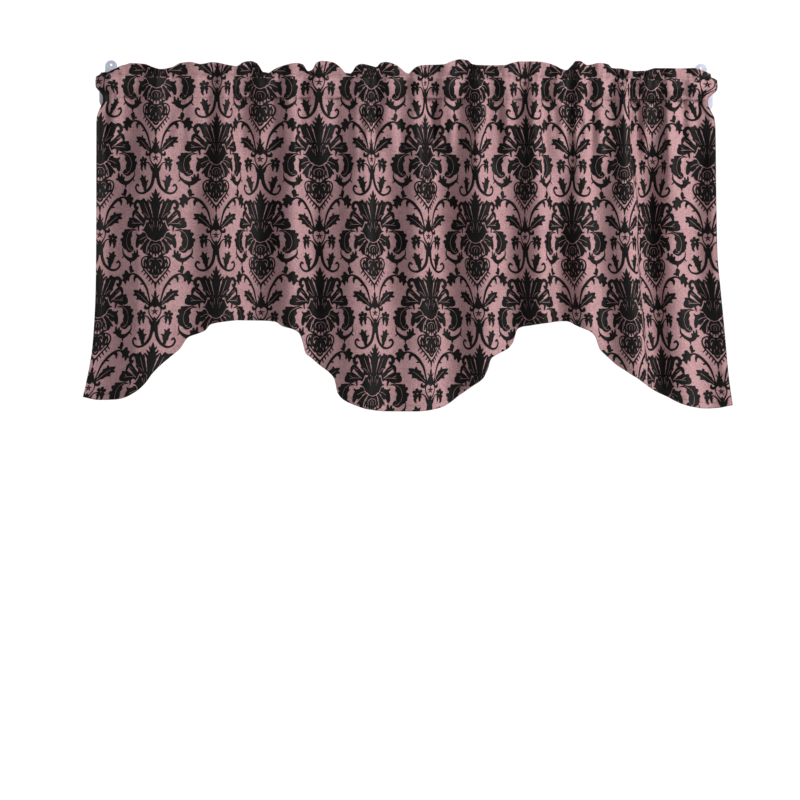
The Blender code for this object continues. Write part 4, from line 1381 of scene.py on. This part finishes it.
def stitches(material):
    """Lock stitches along both seams, above the hem and beside the side hems, as small raised threads."""
    along_seam = np.arange(SEAM_STITCH_IN, FLAT_WIDTH - SEAM_STITCH_IN, STITCH_PITCH)
    low = np.full_like(along_seam, LOWER_SEAM)
    _, apex_height, _, _ = heading_lines(along_seam)
    hem = -through(HEM_CUT, along_seam) + HEM_STITCH_UP
    runs = [(along_seam, low, 1), (along_seam, low, -1)]
    runs += [(along_seam, apex_height, 1), (along_seam, apex_height, -1), (along_seam, hem, 1)]
    for side in (SIDE_STITCH_IN, FLAT_WIDTH - SIDE_STITCH_IN):
        lowest = -float(through(HEM_CUT, np.array([side]))[0])
        down = np.arange(LOWER_SEAM - SIDE_STITCH_DOWN, lowest + HEM_STITCH_UP, -STITCH_PITCH)
        runs.append((np.full_like(down, side), down, 1))

    points, faces = [], []
    first = 0
    for u, z, side in runs:
        du, dz = np.gradient(u), np.gradient(z)
        size = np.hypot(du, dz)
        du, dz = du / size, dz / size
        for share in STITCH_RINGS:
            bulge = STITCH_THICK / 2 if abs(share) < 0.5 else -STITCH_SUNK
            middle_u, middle_z = u + du * share * STITCH_LONG, z + dz * share * STITCH_LONG
            for around in range(STITCH_SIDES):
                turn = 2 * math.pi * around / STITCH_SIDES
                aside = math.cos(turn) * STITCH_THICK / 2
                up = PRINT_LIFT + bulge + math.sin(turn) * STITCH_THICK / 2
                points.append(pushed(middle_u - dz * aside, middle_z + du * aside, side, up))
        shape = (len(STITCH_RINGS), STITCH_SIDES, len(u))
        numbers = first + np.arange(math.prod(shape)).reshape(shape)
        first += numbers.size
        for k in range(len(u)):
            rings = numbers[:, :, k].tolist()
            for near, far in zip(rings, rings[1:]):
                for here in range(STITCH_SIDES):
                    after = (here + 1) % STITCH_SIDES
                    faces.append((near[here], near[after], far[after], far[here]))
            faces += [rings[0][::-1], rings[-1]]
    return mesh_piece("stitching", np.concatenate(points), faces, (material,))


def studio():
    """A bright white surround behind the object, a softer one before it, and two soft lights."""
    world = bpy.data.worlds.new("studio")
    bpy.context.scene.world = world
    world.use_nodes = True
    nodes, links = world.node_tree.nodes, world.node_tree.links
    direction = nodes.new("ShaderNodeTexCoord")
    apart = nodes.new("ShaderNodeSeparateXYZ")
    share = nodes.new("ShaderNodeMapRange")
    ends = ("From Min", "From Max", "To Min", "To Max")
    for name, value in zip(ends, (*SURROUND_TURN, SURROUND_FRONT, SURROUND_BACK)):
        share.inputs[name].default_value = value
    links.new(direction.outputs["Generated"], apart.inputs["Vector"])
    links.new(apart.outputs["Y"], share.inputs["Value"])
    background = nodes["Background"]
    background.inputs["Color"].default_value = (1, 1, 1, 1)
    links.new(share.outputs["Result"], background.inputs["Strength"])
    for lamp in LAMPS:
        data = bpy.data.lights.new(lamp.name, "AREA")
        data.energy = lamp.watts
        data.size = lamp.size
        data.color = lamp.color
        light = bpy.data.objects.new(lamp.name, data)
        light.location = lamp.place
        aim = Vector(LAMP_AIM) - light.location
        light.rotation_euler = aim.to_track_quat("-Z", "Y").to_euler()
        bpy.context.scene.collection.objects.link(light)


def camera():
    """A long lens far away, whose pixels at the cloth are as large as the photograph's."""
    data = bpy.data.cameras.new("camera")
    data.sensor_width = SENSOR
    data.lens = SENSOR * CAMERA_AWAY / (PHOTO_PIXELS * PIXEL)
    made = bpy.data.objects.new("camera", data)
    made.location = (CAMERA_X, CLOTH_PLANE - CAMERA_AWAY, CAMERA_Z)
    made.rotation_euler = (math.pi / 2, 0, 0)
    bpy.context.scene.collection.objects.link(made)
    bpy.context.scene.camera = made


def floor(material):
    """A round floor far below the valance, for the stage only."""
    mesh = bpy.data.meshes.new("floor")
    turns = np.linspace(0, 2 * math.pi, FLOOR_SIDES, endpoint=False)
    ring = [(FLOOR_RADIUS * math.cos(turn), FLOOR_RADIUS * math.sin(turn), FLOOR_Z) for turn in turns]
    mesh.from_pydata(ring, [], [list(range(len(ring)))])
    mesh.materials.append(material)
    made = bpy.data.objects.new("floor", mesh)
    bpy.context.scene.collection.objects.link(made)


def main():
    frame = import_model()
    bpy.context.scene.view_settings.view_transform = "Standard"

    ground = woven("mauve_ground", GROUND_DARK, GROUND_LIGHT, GROUND_SHEEN)
    wrong_side = woven("mauve_wrong_side", WRONG_DARK, WRONG_LIGHT, WRONG_SHEEN)
    pile = printed("black_print")
    white = enamel("white_enamel_finish")

    valance = make_valance(ground, wrong_side)
    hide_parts("valance_cloth")

    cell = cell_triangles()
    middle = (FIRST_COLUMN + MIDDLE_COLUMN * HALF_PITCH) * MM
    details = [
        front_print(cell, "print_left", 0.0, middle, pile),
        front_print(cell, "print_right", middle, FLAT_WIDTH, pile),
        turned_print(cell, "print_turned_back", pile),
        stitches(thread("mauve_thread")),
    ]
    for name in ("curtain_rod", "bracket_left", "bracket_right"):
        frame["nodes"][name].material_slots[0].material = white

    studio()
    camera()
    floor(painted_floor("pale_floor"))


main()
